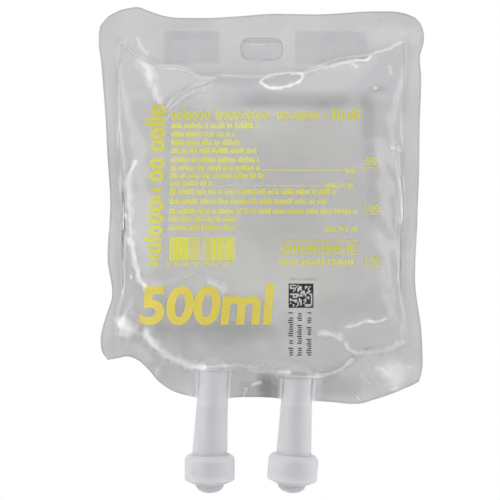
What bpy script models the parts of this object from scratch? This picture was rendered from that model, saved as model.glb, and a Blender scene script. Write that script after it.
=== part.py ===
"""A filled 500 ml infusion bag, hung by its slot.

Two clear films are welded together round a chamber of saline. Two port tubes
are welded in between the films at the foot, and each ends in a break-off cap
that holds a rubber septum. The origin is the middle of the hanger slot, +X is
to the right of the printed front, -Y is towards the reader and +Z is up.
"""

import math

import bmesh
import bpy
import numpy as np
from mathutils import Matrix

MM = 0.001

# Film sheet: the rectangle that its edges are drawn in from
FILM_W = 153.4 * MM
FILM_H = 186.4 * MM
FILM_T = 0.35 * MM
TOP_MARGIN = 20.0 * MM  # from the slot's middle up to the sheet's top line
WELD_GAP = 0.3 * MM  # between the two films, and between any two pieces that touch

# Chamber: the rectangle that its weld line is drawn in from
SIDE_WELD = 8.9 * MM
HEADER = 16.2 * MM
FOOT_WELD = 13.4 * MM
BULGE = 24.2 * MM  # how far each film stands out from the middle plane
FULLNESS = 2.7  # a higher power gives a flatter front
SHOULDER = 0.7  # a lower power makes the film leave its weld more steeply
SAG = 1.3  # over 1 the deepest point lies below the middle
HEADSPACE = 27.3 * MM  # from the chamber's top line down to the liquid

# Hanger slot through both films
SLOT_W = 19.6 * MM
SLOT_H = 10.0 * MM
SLOT_R = 4.2 * MM
SLOT_CUT = 9.0 * MM  # the cutter's depth, well past both films

# Unsealed pockets of the header, either side of the welded patch with the slot
POCKET_PUFF = 0.9 * MM
POCKET_TOP = 9.5 * MM  # above the slot's middle
POCKET_FOOT = 7.5 * MM  # below it
POCKET_EDGE = 3.0 * MM
LEFT_POCKET = (-46.5 * MM, -19.0 * MM)
RIGHT_POCKET = (15.0 * MM, 50.5 * MM)

# Ports
PORT_SPACING = 39.5 * MM
PORT_SHIFT = 3.3 * MM  # of the pair's middle, to the left of the slot
PORT_LEAN = math.radians(2.9)  # their lower ends lean to the left
TUBE_TOP_D = 14.6 * MM
TUBE_FOOT_D = 16.9 * MM
TUBE_BORE = 10.6 * MM
TUBE_EDGE = 0.4 * MM  # the bevel round its top
TUBE_OUT = 29.8 * MM  # how far the tube stands out of the sheet's bottom line
COLLAR_D = 23.5 * MM
COLLAR_H = 12.2 * MM
COLLAR_ROUND = 1.8 * MM
CONE_H = 1.9 * MM
GROOVE_D = 11.9 * MM
GROOVE_H = 0.6 * MM
BUTTON_D = 13.2 * MM
BUTTON_H = 3.9 * MM
CAP_GRIP = 6.2 * MM  # how far the collar runs up the tube
SEPTUM_H = 3.6 * MM
SEPTUM_RIM = 0.6 * MM
WRAP = 1.5  # the films meet this many tube radii from a tube's axis

# Faces
TURNS = 24  # sides of a turned piece
HEADER_ROWS = 5
CHAMBER_ROWS = 19
FOOT_ROWS = 3
FLANGE_COLUMNS = 3
COLUMN_STEP = 7.5 * MM
SEAM_STEP = 1.6 * MM
WRAP_FACETS = (-0.7, -0.36, 0.0, 0.36, 0.7)  # columns over a tube, in tube radii from its axis
ROW_CROWDING = 0.35  # 0 spaces the rows evenly, 1 crowds them most at the chamber's ends

# Where a filled bag draws its sheet's corners in: sideways and up or down
FILM_CORNERS = {
    "top_left": (2.4 * MM, 7.0 * MM),
    "top_right": (2.1 * MM, 7.8 * MM),
    "bottom_right": (2.6 * MM, 10.1 * MM),
    "bottom_left": (4.7 * MM, 19.7 * MM),
}
# How far each side is drawn in, in millimetres, at a share of its length
# from the left or from the top
FILM_SIDES = {
    "top": [(0.075, 2.0), (0.123, 0.2), (0.155, 2.0), (0.20, 4.3), (0.31, 5.4), (0.44, 4.5),
            (0.51, 3.6), (0.68, 3.7), (0.865, 2.2), (0.917, 2.4), (0.957, 4.5)],
    "right": [(0.062, 0.2), (0.09, 0.2), (0.122, 2.0), (0.175, 1.7), (0.31, 2.2), (0.54, 3.3),
              (0.707, 4.3), (0.816, 1.4), (0.866, 0.9), (0.915, 0.9)],
    "bottom": [(0.061, 21.2), (0.092, 22.1), (0.123, 20.2), (0.156, 15.5), (0.181, 10.8),
               (0.224, 6.1), (0.282, 3.3), (0.35, 2.6), (0.482, 2.8), (0.61, 1.9), (0.712, 0.5),
               (0.813, 0.0), (0.844, 1.4), (0.929, 6.1)],
    "left": [(0.095, 0.1), (0.135, 1.2), (0.236, 2.8), (0.362, 4.2), (0.488, 5.6), (0.639, 4.5),
             (0.74, 6.2), (0.778, 3.8), (0.841, 1.4), (0.871, 2.4)],
}
CHAMBER_CORNERS = {
    "top_left": (1.9 * MM, 0.9 * MM),
    "top_right": (0.4 * MM, 0.4 * MM),
    "bottom_right": (0.2 * MM, 15.7 * MM),
    "bottom_left": (0.2 * MM, 19.0 * MM),
}
CHAMBER_SIDES = {
    "top": [(0.069, 7.5), (0.115, 10.8), (0.219, 12.7), (0.306, 16.0), (0.41, 16.9),
            (0.531, 16.9), (0.642, 14.6), (0.774, 8.9), (0.872, 7.0), (0.955, 2.8)],
    "right": [(0.057, 0.2), (0.147, 1.2), (0.237, 2.1), (0.351, 2.0), (0.504, 0.6),
              (0.696, 1.9), (0.774, 1.7), (0.843, 0.7)],
    "bottom": [(0.045, 18.1), (0.09, 17.2), (0.122, 12.0), (0.184, 8.5), (0.245, 4.2),
               (0.337, 3.8), (0.497, 1.8), (0.625, 0.5), (0.729, 0.2), (0.785, 4.0),
               (0.819, 8.2), (0.861, 11.5), (0.9375, 12.0)],
    "left": [(0.087, 0.7), (0.237, 0.7), (0.357, 1.2), (0.477, 2.1), (0.627, 1.9),
             (0.747, 2.4), (0.825, 0.7)],
}

# Folds and gathers of the front film: from and to as shares of the chamber's
# width and height, then half width and height in millimetres
FRONT_FOLDS = [
    (0.07, 0.04, 0.11, 0.11, 3.5, 1.6),
    (0.11, 0.11, 0.155, 0.19, 3.5, 1.6),
    (0.16, 0.22, 0.34, 0.12, 3.8, -1.5),
    (0.30, 0.10, 0.52, 0.13, 4.5, 1.3),
    (0.52, 0.13, 0.78, 0.08, 4.5, 1.3),
    (0.065, 0.36, 0.045, 0.50, 4.0, 1.6),
    (0.045, 0.50, 0.10, 0.74, 4.0, 1.6),
    (0.17, 0.735, 0.28, 0.69, 4.5, -1.4),
    (0.05, 0.86, 0.26, 0.955, 4.0, 1.8),
    (0.89, 0.15, 0.87, 0.72, 6.0, -1.3),
    (0.93, 0.84, 0.80, 0.855, 4.5, 1.6),
    (0.80, 0.90, 0.69, 0.87, 4.5, -1.6),
]
# The same for the back film
BACK_FOLDS = [
    (0.10, 0.06, 0.30, 0.20, 4.5, -1.5),
    (0.93, 0.07, 0.74, 0.20, 4.5, -1.5),
    (0.04, 0.30, 0.07, 0.66, 5.0, 1.4),
    (0.95, 0.32, 0.92, 0.70, 5.0, 1.4),
    (0.07, 0.88, 0.27, 0.78, 4.5, -1.6),
    (0.93, 0.86, 0.74, 0.77, 4.5, -1.6),
    (0.42, 0.93, 0.50, 0.78, 5.0, -1.2),
]
# Corners of the sheet that curl: how far, and over what reach; + is to the back
CURLS = {
    "top_left": (2.6 * MM, 17.0 * MM),
    "top_right": (1.4 * MM, 20.0 * MM),
    "bottom_right": (3.2 * MM, 18.0 * MM),
    "bottom_left": (-4.2 * MM, 15.0 * MM),
}
EDGE_WAVE = 1.1 * MM  # the side welds wave to the front and back
EDGE_WAVE_LENGTH = 46.0 * MM


def curve_through(points):
    """A smooth curve through points, as a function of their first coordinate."""
    at, value = np.array(sorted(points)).T
    slope = np.gradient(value, at)

    def curve(x):
        i = np.clip(np.searchsorted(at, x) - 1, 0, len(at) - 2)
        step = at[i + 1] - at[i]
        t = np.clip((x - at[i]) / step, 0.0, 1.0)
        start = value[i] * (2 * t**3 - 3 * t**2 + 1) + slope[i] * step * (t**3 - 2 * t**2 + t)
        end = value[i + 1] * (3 * t**2 - 2 * t**3) + slope[i + 1] * step * (t**3 - t**2)
        return start + end

    return curve


class Outline:
    """A rectangle whose corners and sides are drawn in."""

    def __init__(self, left, right, bottom, top, corners, sides):
        self.left, self.right, self.bottom, self.top = left, right, bottom, top
        self.corner = {
            name: (
                left + inset[0] if "left" in name else right - inset[0],
                bottom + inset[1] if "bottom" in name else top - inset[1],
            )
            for name, inset in corners.items()
        }
        width, height = right - left, top - bottom
        across = {
            "top": [(left + f * width, top - pull * MM) for f, pull in sides["top"]],
            "bottom": [(left + f * width, bottom + pull * MM) for f, pull in sides["bottom"]],
        }
        down = {
            "left": [(top - f * height, left + pull * MM) for f, pull in sides["left"]],
            "right": [(top - f * height, right - pull * MM) for f, pull in sides["right"]],
        }
        self.side = {}
        for name, points in across.items():
            ends = [self.corner[name + "_left"], self.corner[name + "_right"]]
            self.side[name] = curve_through(points + ends)
        for name, points in down.items():
            ends = [self.corner["top_" + name][::-1], self.corner["bottom_" + name][::-1]]
            self.side[name] = curve_through(points + ends)


FILM = Outline(
    -FILM_W / 2,
    FILM_W / 2,
    TOP_MARGIN - FILM_H,
    TOP_MARGIN,
    FILM_CORNERS,
    FILM_SIDES,
)
CHAMBER = Outline(
    FILM.left + SIDE_WELD,
    FILM.right - SIDE_WELD,
    FILM.bottom + FOOT_WELD,
    FILM.top - HEADER,
    CHAMBER_CORNERS,
    CHAMBER_SIDES,
)
PORT_X = {
    "left": -PORT_SHIFT - PORT_SPACING / 2,
    "right": -PORT_SHIFT + PORT_SPACING / 2,
}
TUBE_WALL_CLEAR = WELD_GAP + 0.2 * MM  # the film's flat faces cut inside its true curve
TUBE_FOOT = -TUBE_OUT  # along the port's axis, from the sheet's bottom line


def stations(start, end, step):
    """Evenly spaced places from start to end, at most a step apart, without the end."""
    count = max(1, math.ceil((end - start) / step))
    return [start + (end - start) * k / count for k in range(count)]


def column_shares():
    """Where the chamber's columns stand, as shares of its width, closer over the ports."""
    left, right = CHAMBER.corner["bottom_left"][0], CHAMBER.corner["bottom_right"][0]
    radius = TUBE_TOP_D / 2 + TUBE_WALL_CLEAR
    marks = [left, left + SEAM_STEP, left + 3 * SEAM_STEP]
    for x in PORT_X.values():
        marks += [x + radius * share for share in (-WRAP, *WRAP_FACETS, WRAP)]
    marks += [right - 3 * SEAM_STEP, right - SEAM_STEP]
    places = []
    for start, end in zip(marks, marks[1:] + [right]):
        places += stations(start, end, COLUMN_STEP)
    places.append(right)
    return [(x - left) / (right - left) for x in places]


def row_shares():
    """Where the chamber's rows stand, as shares of its height, closer at its ends."""
    edge = SEAM_STEP / (CHAMBER.top - CHAMBER.bottom)
    even = [k / CHAMBER_ROWS for k in range(1, CHAMBER_ROWS)]
    crowded = [(1 - math.cos(math.pi * share)) / 2 for share in even]
    inner = [a + (b - a) * ROW_CROWDING for a, b in zip(even, crowded)]
    return [0.0, edge] + inner + [1.0 - edge, 1.0]


def coons(top, bottom, left, right, s, t):
    """Fills the patch between four rows of points, at s across and t down it."""
    top, bottom, left, right = (np.array(side) for side in (top, bottom, left, right))
    s, t = s[None, :, None], t[:, None, None]
    ruled = (1 - t) * top[None] + t * bottom[None] + (1 - s) * left[:, None] + s * right[:, None]
    corners = (1 - t) * ((1 - s) * top[0] + s * top[-1]) + t * (
        (1 - s) * bottom[0] + s * bottom[-1]
    )
    return ruled - corners


def between(start, end, count):
    """Points on the straight line from start to end."""
    return [tuple(np.array(start) + (np.array(end) - start) * k / count) for k in range(count + 1)]


def lattice():
    """The (x, z) of every crossing of the film's rows and columns, from the top left."""
    inner, outer = CHAMBER.corner, FILM.corner
    s, t = np.array(column_shares()), np.array(row_shares())

    def across(side, name):
        x = inner[name + "_left"][0] + s * (inner[name + "_right"][0] - inner[name + "_left"][0])
        return list(zip(x, side(x)))

    def down(side, name):
        z = inner["top_" + name][1] + t * (inner["bottom_" + name][1] - inner["top_" + name][1])
        return list(zip(side(z), z))

    seam = {name: across(CHAMBER.side[name], name) for name in ("top", "bottom")}
    seam |= {name: down(CHAMBER.side[name], name) for name in ("left", "right")}
    for name in ("top", "bottom"):
        seam[name][0], seam[name][-1] = inner[name + "_left"], inner[name + "_right"]
    for name in ("left", "right"):
        seam[name][0], seam[name][-1] = inner["top_" + name], inner["bottom_" + name]
    rim = {name: across(FILM.side[name], name) for name in ("top", "bottom")}
    rim |= {name: down(FILM.side[name], name) for name in ("left", "right")}

    def corner_patch(vertical, horizontal, rows):
        """The patch outside one corner of the chamber."""
        tip = outer[vertical + "_" + horizontal]
        end = 0 if horizontal == "left" else -1
        on_edge = rim[vertical][end]
        on_side = rim[horizontal][0 if vertical == "top" else -1]
        x = np.linspace(tip[0], on_edge[0], FLANGE_COLUMNS + 1)
        z = np.linspace(tip[1], on_side[1], rows + 1)
        edge = [tip] + [(a, float(FILM.side[vertical](a))) for a in x[1:-1]] + [on_edge]
        side = [tip] + [(float(FILM.side[horizontal](b)), b) for b in z[1:-1]] + [on_side]
        near = inner[vertical + "_" + horizontal]
        cross_row = between(on_side, near, FLANGE_COLUMNS)
        cross_column = between(on_edge, near, rows)
        if vertical == "bottom":
            edge, cross_row = cross_row, edge
            side, cross_column = side[::-1], cross_column[::-1]
        if horizontal == "right":
            edge, cross_row = edge[::-1], cross_row[::-1]
            side, cross_column = cross_column, side
        even = np.linspace(0, 1, FLANGE_COLUMNS + 1), np.linspace(0, 1, rows + 1)
        return coons(edge, cross_row, side, cross_column, *even)

    def strip(first, last, count):
        """Straight lines from each point of one row to the same point of another."""
        first, last = np.array(first), np.array(last)
        return np.array([first + (last - first) * k / count for k in range(count + 1)])

    header = strip(rim["top"], seam["top"], HEADER_ROWS)
    foot = strip(seam["bottom"], rim["bottom"], FOOT_ROWS)
    flange_left = strip(rim["left"], seam["left"], FLANGE_COLUMNS).transpose(1, 0, 2)
    flange_right = strip(seam["right"], rim["right"], FLANGE_COLUMNS).transpose(1, 0, 2)
    chamber = coons(seam["top"], seam["bottom"], seam["left"], seam["right"], s, t)
    bands = [
        (corner_patch("top", "left", HEADER_ROWS), header, corner_patch("top", "right", HEADER_ROWS)),
        (flange_left, chamber, flange_right),
        (corner_patch("bottom", "left", FOOT_ROWS), foot, corner_patch("bottom", "right", FOOT_ROWS)),
    ]
    rows = [np.concatenate([left[:, :-1], mid, right[:, 1:]], axis=1) for left, mid, right in bands]
    return np.concatenate([rows[0][:-1], rows[1], rows[2][1:]], axis=0)


def chamber_shares(x, z):
    """How far across and down the chamber a point lies, each from 0 to 1."""
    left, right = CHAMBER.side["left"](z), CHAMBER.side["right"](z)
    top, bottom = CHAMBER.side["top"](x), CHAMBER.side["bottom"](x)
    s = np.clip((x - left) / (right - left), 0.0, 1.0)
    t = np.clip((top - z) / (top - bottom), 0.0, 1.0)
    return s, t


def swell(share):
    """The bulge's profile across the chamber, 0 at the welds and 1 in the middle."""
    return (1 - np.abs(2 * share - 1) ** FULLNESS) ** SHOULDER


def fold_height(x, z, folds):
    """The height of all folds at a point."""
    width, height = CHAMBER.right - CHAMBER.left, CHAMBER.top - CHAMBER.bottom
    total = np.zeros_like(x)
    for s0, t0, s1, t1, half_width, rise in folds:
        start = np.array([CHAMBER.left + s0 * width, CHAMBER.top - t0 * height])
        along = np.array([(s1 - s0) * width, (t0 - t1) * height])
        length = np.hypot(*along)
        ux, uz = along / length
        run = (x - start[0]) * ux + (z - start[1]) * uz
        off = (x - start[0]) * uz - (z - start[1]) * ux
        past = np.maximum(0.0, np.maximum(-run, run - length))
        distance2 = (off**2 + past**2) / (half_width * MM) ** 2
        total += rise * MM * np.exp(-distance2)
    return total


def pocket_height(x, z):
    """The puff of the header's unsealed pockets."""
    total = np.zeros_like(x)
    for left, right in (LEFT_POCKET, RIGHT_POCKET):
        inside = np.minimum(np.minimum(x - left, right - x), np.minimum(POCKET_TOP - z, z + POCKET_FOOT))
        total += POCKET_PUFF * np.clip(inside / POCKET_EDGE, 0.0, 1.0)
    return total


def tube_wrap(x, z):
    """The films' half opening round the port tubes: a round top with straight sides to the weld."""
    radius = TUBE_TOP_D / 2 + TUBE_WALL_CLEAR
    reach = WRAP * radius
    touch = radius**2 / reach
    slope = radius / math.sqrt(reach**2 - radius**2)
    opening = np.zeros_like(x)
    for port_x in PORT_X.values():
        axis = port_x + math.tan(PORT_LEAN) * (z - FILM.bottom)
        d = np.abs(x - axis) * math.cos(PORT_LEAN)
        round_top = np.sqrt(np.maximum(radius**2 - d**2, 0.0))
        wrap = np.where(d < touch, round_top, (reach - d) * slope)
        opening = np.maximum(opening, wrap)
    faded = CHAMBER.bottom + 2 * FOOT_WELD  # well inside the chamber, which stands further out
    return opening * np.clip((faded - z) / FOOT_WELD, 0.0, 1.0)


def half_opening(x, z, folds):
    """How far a film's inner face stands from the middle plane."""
    s, t = chamber_shares(x, z)
    swelling = swell(s) * swell(t**SAG)
    pillow = BULGE * swelling + fold_height(x, z, folds) * np.minimum(1.0, 3 * swelling)
    flat = WELD_GAP / 2 + pocket_height(x, z) * (swelling == 0)
    return np.maximum(np.maximum(flat, pillow), tube_wrap(x, z) + WELD_GAP / 2)


def middle_plane(x, z):
    """How far the bag's middle plane is bent to the back by curled corners and waving welds."""
    bend = np.zeros_like(x)
    for name, (amount, reach) in CURLS.items():
        corner = FILM.corner[name]
        bend += amount * np.exp(-((x - corner[0]) ** 2 + (z - corner[1]) ** 2) / reach**2)
    left, right = CHAMBER.side["left"](z), CHAMBER.side["right"](z)
    outside = np.maximum(0.0, np.maximum(left - x, x - right)) / SIDE_WELD
    return bend + EDGE_WAVE * outside * np.sin(2 * math.pi * z / EDGE_WAVE_LENGTH)


def material(name, color, roughness, alpha=1.0):
    """A plain plastic, rubber or liquid."""
    made = bpy.data.materials.new(name)
    made.use_nodes = True
    shader = made.node_tree.nodes["Principled BSDF"]
    shader.inputs["Base Color"].default_value = (*color, 1.0)
    shader.inputs["Roughness"].default_value = roughness
    shader.inputs["Metallic"].default_value = 0.0
    shader.inputs["Alpha"].default_value = alpha
    return made


def add_object(name, mesh, collection, look=None, parent=None):
    """Puts a mesh in the scene under its own name."""
    made = bpy.data.objects.new(name, mesh)
    collection.objects.link(made)
    made.parent = parent
    if look is not None:
        mesh.materials.append(look)
    return made


def grid_mesh(name, points):
    """A mesh of quads laid over rows of points."""
    rows, columns = points.shape[:2]
    bm = bmesh.new()
    bmesh.ops.create_grid(bm, x_segments=columns - 1, y_segments=rows - 1, size=1.0)
    bm.verts.ensure_lookup_table()
    for vert, place in zip(bm.verts, points.reshape(-1, 3)):
        vert.co = place
    mesh = bpy.data.meshes.new(name)
    bm.to_mesh(mesh)
    bm.free()
    mesh.shade_smooth()
    return mesh


def film_points(side, folds, clear=0.0):
    """The lattice's points on one film's inner face; side is -1 at the front and 1 at the back."""
    places = lattice()
    x, z = places[..., 0], places[..., 1]
    y = middle_plane(x, z) + side * (half_opening(x, z, folds) - clear)
    return np.stack([x, y, z], axis=-1)


def add_film(name, side, folds, cutter, look, collection):
    """One film with its weld, bulge, folds and the slot."""
    mesh = grid_mesh(name, film_points(side, folds))
    if side < 0:
        mesh.flip_normals()
    film = add_object(name, mesh, collection, look)
    wall = film.modifiers.new("film_thickness", "SOLIDIFY")
    wall.thickness = FILM_T
    wall.offset = 1.0
    slot = film.modifiers.new("hanger_slot", "BOOLEAN")
    slot.operation = "DIFFERENCE"
    slot.object = cutter
    return film


def add_slot_cutter(collection):
    """A block with the slot's outline, through both films."""
    bm = bmesh.new()
    bmesh.ops.create_cube(bm, size=1.0)
    bmesh.ops.scale(bm, vec=(SLOT_W, SLOT_CUT, SLOT_H), verts=bm.verts)
    through = [e for e in bm.edges if abs(e.verts[0].co.y - e.verts[1].co.y) > SLOT_CUT / 2]
    bmesh.ops.bevel(bm, geom=through, offset=SLOT_R, segments=5, profile=0.5, affect="EDGES")
    mesh = bpy.data.meshes.new("slot_cutter")
    bm.to_mesh(mesh)
    bm.free()
    cutter = add_object("slot_cutter", mesh, collection)
    cutter.hide_render = True
    cutter.display_type = "WIRE"
    return cutter


def turned(name, profile, closed, collection, look, parent):
    """A profile of (radius, height) points turned round the port's axis."""
    points = [(radius, 0.0, height) for radius, height in profile]
    edges = [(k, k + 1) for k in range(len(points) - 1)]
    if closed:
        edges.append((len(points) - 1, 0))
    mesh = bpy.data.meshes.new(name)
    mesh.from_pydata(points, edges, [])
    made = add_object(name, mesh, collection, look, parent)
    turn = made.modifiers.new("turn", "SCREW")
    turn.axis = "Z"
    turn.steps = TURNS
    turn.render_steps = TURNS
    turn.use_merge_vertices = True
    turn.merge_threshold = 0.01 * MM
    turn.use_smooth_shade = True
    return made


def arc(center, radius, start, end, count):
    """Points on an arc in the (radius, height) plane, from start to end in degrees."""
    angles = [math.radians(start + (end - start) * k / count) for k in range(count + 1)]
    return [(center[0] + radius * math.cos(a), center[1] + radius * math.sin(a)) for a in angles]


def tube_radius(height):
    """The tube's outer radius at a height along its axis: it widens evenly towards its foot."""
    share = np.clip(height / TUBE_FOOT, 0.0, 1.0)
    return (TUBE_TOP_D + (TUBE_FOOT_D - TUBE_TOP_D) * share) / 2


def tube_top(side):
    """How high the tube's inner end stands: just under the chamber's weld line."""
    radius = TUBE_TOP_D / 2
    across = np.linspace(-radius, radius, 9) + PORT_X[side]
    lowest = float(np.min(CHAMBER.side["bottom"](across)))
    return lowest - FILM.bottom - radius * math.sin(PORT_LEAN) - WELD_GAP


def add_tube(side, collection, look, parent):
    """The port tube, a frosted hollow cone with its foot inside the cap."""
    top = tube_top(side)
    bore = TUBE_BORE / 2
    profile = [
        (tube_radius(top) - TUBE_EDGE, top),
        (tube_radius(top), top - TUBE_EDGE),
        (tube_radius(0.0), 0.0),
        (tube_radius(TUBE_FOOT), TUBE_FOOT),
        (bore, TUBE_FOOT),
        (bore, top),
    ]
    return turned("port_tube_" + side, profile, True, collection, look, parent)


def add_septum(side, collection, look, parent):
    """The rubber disc under the tube's foot, with a raised rim that the tube presses on."""
    top = TUBE_FOOT - WELD_GAP
    radius = TUBE_FOOT_D / 2
    profile = [
        (0.0, top - SEPTUM_RIM),
        (TUBE_BORE / 2, top - SEPTUM_RIM),
        (TUBE_BORE / 2 + SEPTUM_RIM, top),
        (radius, top),
        (radius, top - SEPTUM_H),
        (0.0, top - SEPTUM_H),
    ]
    return turned("septum_" + side, profile, False, collection, look, parent)


def add_cap(side, collection, look, parent):
    """The cap: collar, cone and break-off button in one moulding, bored for tube and septum."""
    top = TUBE_FOOT + CAP_GRIP
    outer, round_ = COLLAR_D / 2, COLLAR_ROUND
    shelf = TUBE_FOOT - SEPTUM_H - 2 * WELD_GAP
    wall_foot = top - COLLAR_H
    cone_foot = wall_foot - CONE_H
    groove_foot = cone_foot - GROOVE_H
    button = BUTTON_D / 2
    dome = (button**2 + BUTTON_H**2) / (2 * BUTTON_H)
    dome_center = groove_foot - BUTTON_H + dome
    start = math.degrees(math.asin((groove_foot - dome_center) / dome))
    bore = TUBE_FOOT_D / 2 + WELD_GAP
    profile = [(0.0, shelf), (bore, shelf), (bore, TUBE_FOOT), (tube_radius(top) + WELD_GAP, top)]
    profile += arc((outer - round_, top - round_), round_, 90, 0, 4)
    profile += arc((outer - round_ / 2, wall_foot + round_ / 2), round_ / 2, 0, -70, 2)
    profile += [(GROOVE_D / 2, cone_foot), (GROOVE_D / 2, groove_foot)]
    profile += arc((0.0, dome_center), dome, start, -90, 5)[:-1]
    profile.append((0.0, groove_foot - BUTTON_H))
    return turned("port_cap_" + side, profile, False, collection, look, parent)


def add_saline(look, collection):
    """The liquid: a pillow inside the films, cut level at the top, with a leg in each tube."""
    first_row, first_column = HEADER_ROWS + 1, FLANGE_COLUMNS + 1
    rows = slice(first_row, -FOOT_ROWS - 1)
    columns = slice(first_column, -FLANGE_COLUMNS - 1)
    front = film_points(-1, FRONT_FOLDS, WELD_GAP)[rows, columns]
    back = film_points(1, BACK_FOLDS, WELD_GAP)[rows, columns]
    bm = bmesh.new()
    for points in (front, back):
        mesh = grid_mesh("saline_side", points)
        bm.from_mesh(mesh)
        bpy.data.meshes.remove(mesh)
    rim = [edge for edge in bm.edges if edge.is_boundary]
    bmesh.ops.bridge_loops(bm, edges=rim)
    level = CHAMBER.top - HEADSPACE
    cut = bmesh.ops.bisect_plane(
        bm,
        geom=bm.verts[:] + bm.edges[:] + bm.faces[:],
        dist=0.001 * MM,
        plane_co=(0.0, 0.0, level),
        plane_no=(0.0, 0.0, 1.0),
        clear_outer=True,
    )
    surface = [item for item in cut["geom_cut"] if isinstance(item, bmesh.types.BMEdge)]
    bmesh.ops.edgeloop_fill(bm, edges=surface)
    bmesh.ops.recalc_face_normals(bm, faces=bm.faces)
    mesh = bpy.data.meshes.new("saline_fill")
    bm.to_mesh(mesh)
    bm.free()
    return add_object("saline_fill", mesh, collection, look)


def add_leg_cutter(side, collection, parent):
    """The liquid in one tube, from inside the chamber down to the septum."""
    foot = TUBE_FOOT - SEPTUM_RIM + WELD_GAP
    top = tube_top(side) + FOOT_WELD / 2
    bm = bmesh.new()
    bmesh.ops.create_cone(
        bm,
        cap_ends=True,
        segments=TURNS,
        radius1=TUBE_BORE / 2 - WELD_GAP,
        radius2=TUBE_BORE / 2 - WELD_GAP,
        depth=top - foot,
        matrix=Matrix.Translation((0.0, 0.0, (top + foot) / 2)),
    )
    mesh = bpy.data.meshes.new("saline_leg_" + side)
    bm.to_mesh(mesh)
    bm.free()
    leg = add_object("saline_leg_" + side, mesh, collection, parent=parent)
    leg.hide_render = True
    leg.display_type = "WIRE"
    return leg


def main():
    for old in list(bpy.data.objects):
        bpy.data.objects.remove(old)
    parts = bpy.data.collections.new("iv_fluid_bag")
    tools = bpy.data.collections.new("cutters")
    bpy.context.scene.collection.children.link(parts)
    bpy.context.scene.collection.children.link(tools)

    film_look = material("clear_film", (0.78, 0.79, 0.79), 0.16, 0.35)
    saline_look = material("saline", (0.90, 0.93, 0.93), 0.02, 0.30)
    port_look = material("frosted_plastic", (0.82, 0.84, 0.85), 0.38)
    rubber_look = material("septum_rubber", (0.62, 0.60, 0.57), 0.70)

    slot_cutter = add_slot_cutter(tools)
    add_film("front_film", -1, FRONT_FOLDS, slot_cutter, film_look, parts)
    add_film("back_film", 1, BACK_FOLDS, slot_cutter, film_look, parts)
    saline = add_saline(saline_look, parts)
    for side, port_x in PORT_X.items():
        port = bpy.data.objects.new("port_" + side, None)
        parts.objects.link(port)
        port.location = (port_x, 0.0, FILM.bottom)
        port.rotation_euler = (0.0, PORT_LEAN, 0.0)
        add_tube(side, parts, port_look, port)
        add_septum(side, parts, rubber_look, port)
        add_cap(side, parts, port_look, port)
        leg = add_leg_cutter(side, tools, port)
        join = saline.modifiers.new("leg_" + side, "BOOLEAN")
        join.operation = "UNION"
        join.object = leg
    bpy.context.view_layer.update()


main()
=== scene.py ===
import math
import random

import bmesh
import bpy
import numpy as np
from mathutils import Matrix, Vector


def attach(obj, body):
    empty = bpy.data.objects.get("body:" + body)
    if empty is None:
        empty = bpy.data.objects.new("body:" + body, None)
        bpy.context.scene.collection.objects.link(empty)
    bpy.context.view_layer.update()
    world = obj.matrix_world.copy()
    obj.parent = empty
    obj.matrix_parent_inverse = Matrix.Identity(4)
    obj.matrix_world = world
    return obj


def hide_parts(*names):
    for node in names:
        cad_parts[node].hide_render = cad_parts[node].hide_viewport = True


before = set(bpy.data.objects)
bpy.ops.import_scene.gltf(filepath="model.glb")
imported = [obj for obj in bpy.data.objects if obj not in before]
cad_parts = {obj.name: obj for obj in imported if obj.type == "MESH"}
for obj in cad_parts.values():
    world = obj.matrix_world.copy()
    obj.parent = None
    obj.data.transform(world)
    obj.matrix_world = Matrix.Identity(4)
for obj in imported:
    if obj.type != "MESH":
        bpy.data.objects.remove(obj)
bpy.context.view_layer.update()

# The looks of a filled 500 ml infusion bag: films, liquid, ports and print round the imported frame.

MM = 0.001

# The photograph is 500 pixels square; one pixel is this long on the film's middle plane
PIXEL = 0.47 * MM
PHOTO_SIDE = 500
SLOT_PIXEL = (261.4, 49.0)
CAMERA_DISTANCE = 0.62
WORLD_LEVEL = 0.56

# Film sheet and chamber, as the solids have them. The swelling's profile goes by FULLNESS and
# SHOULDER, and SAG moves its thickest place down
FILM_W = 153.4 * MM
FILM_H = 186.4 * MM
TOP_MARGIN = 20.0 * MM
WELD_GAP = 0.3 * MM
SIDE_WELD = 8.9 * MM
HEADER = 16.2 * MM
FOOT_WELD = 13.4 * MM
BULGE = 24.2 * MM
FULLNESS = 2.7
SHOULDER = 0.7
SAG = 1.3
HEADSPACE = 27.3 * MM
SLOT_W = 19.6 * MM
SLOT_H = 10.0 * MM
SLOT_R = 4.2 * MM

# Header pockets
POCKET_PUFF = 0.9 * MM
POCKET_TOP = 9.5 * MM
POCKET_FOOT = 7.5 * MM
POCKET_EDGE = 1.8 * MM
LEFT_POCKET = (-46.5 * MM, -19.0 * MM)
RIGHT_POCKET = (15.0 * MM, 50.5 * MM)

# Ports
PORT_SPACING = 39.5 * MM
PORT_SHIFT = 3.3 * MM
PORT_LEAN = math.radians(2.9)
TUBE_TOP_D = 14.6 * MM
TUBE_FOOT_D = 16.9 * MM
TUBE_BORE = 10.6 * MM
TUBE_OUT = 29.8 * MM
COLLAR_D = 23.5 * MM
COLLAR_H = 12.2 * MM
CONE_H = 1.9 * MM
GROOVE_H = 0.6 * MM
BUTTON_D = 13.2 * MM
BUTTON_H = 3.9 * MM
CAP_GRIP = 6.2 * MM
SEPTUM_H = 3.6 * MM
WRAP = 1.5
TUBE_WALL_CLEAR = 0.5 * MM
TURNS = 96
TUBE_RINGS = 16
TUBE_ROUND = 0.5 * MM
LIP_ROUND = 0.8 * MM
CAP_ROUND = 2.8 * MM
CAP_FOOT_ROUND = 1.1 * MM
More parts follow.
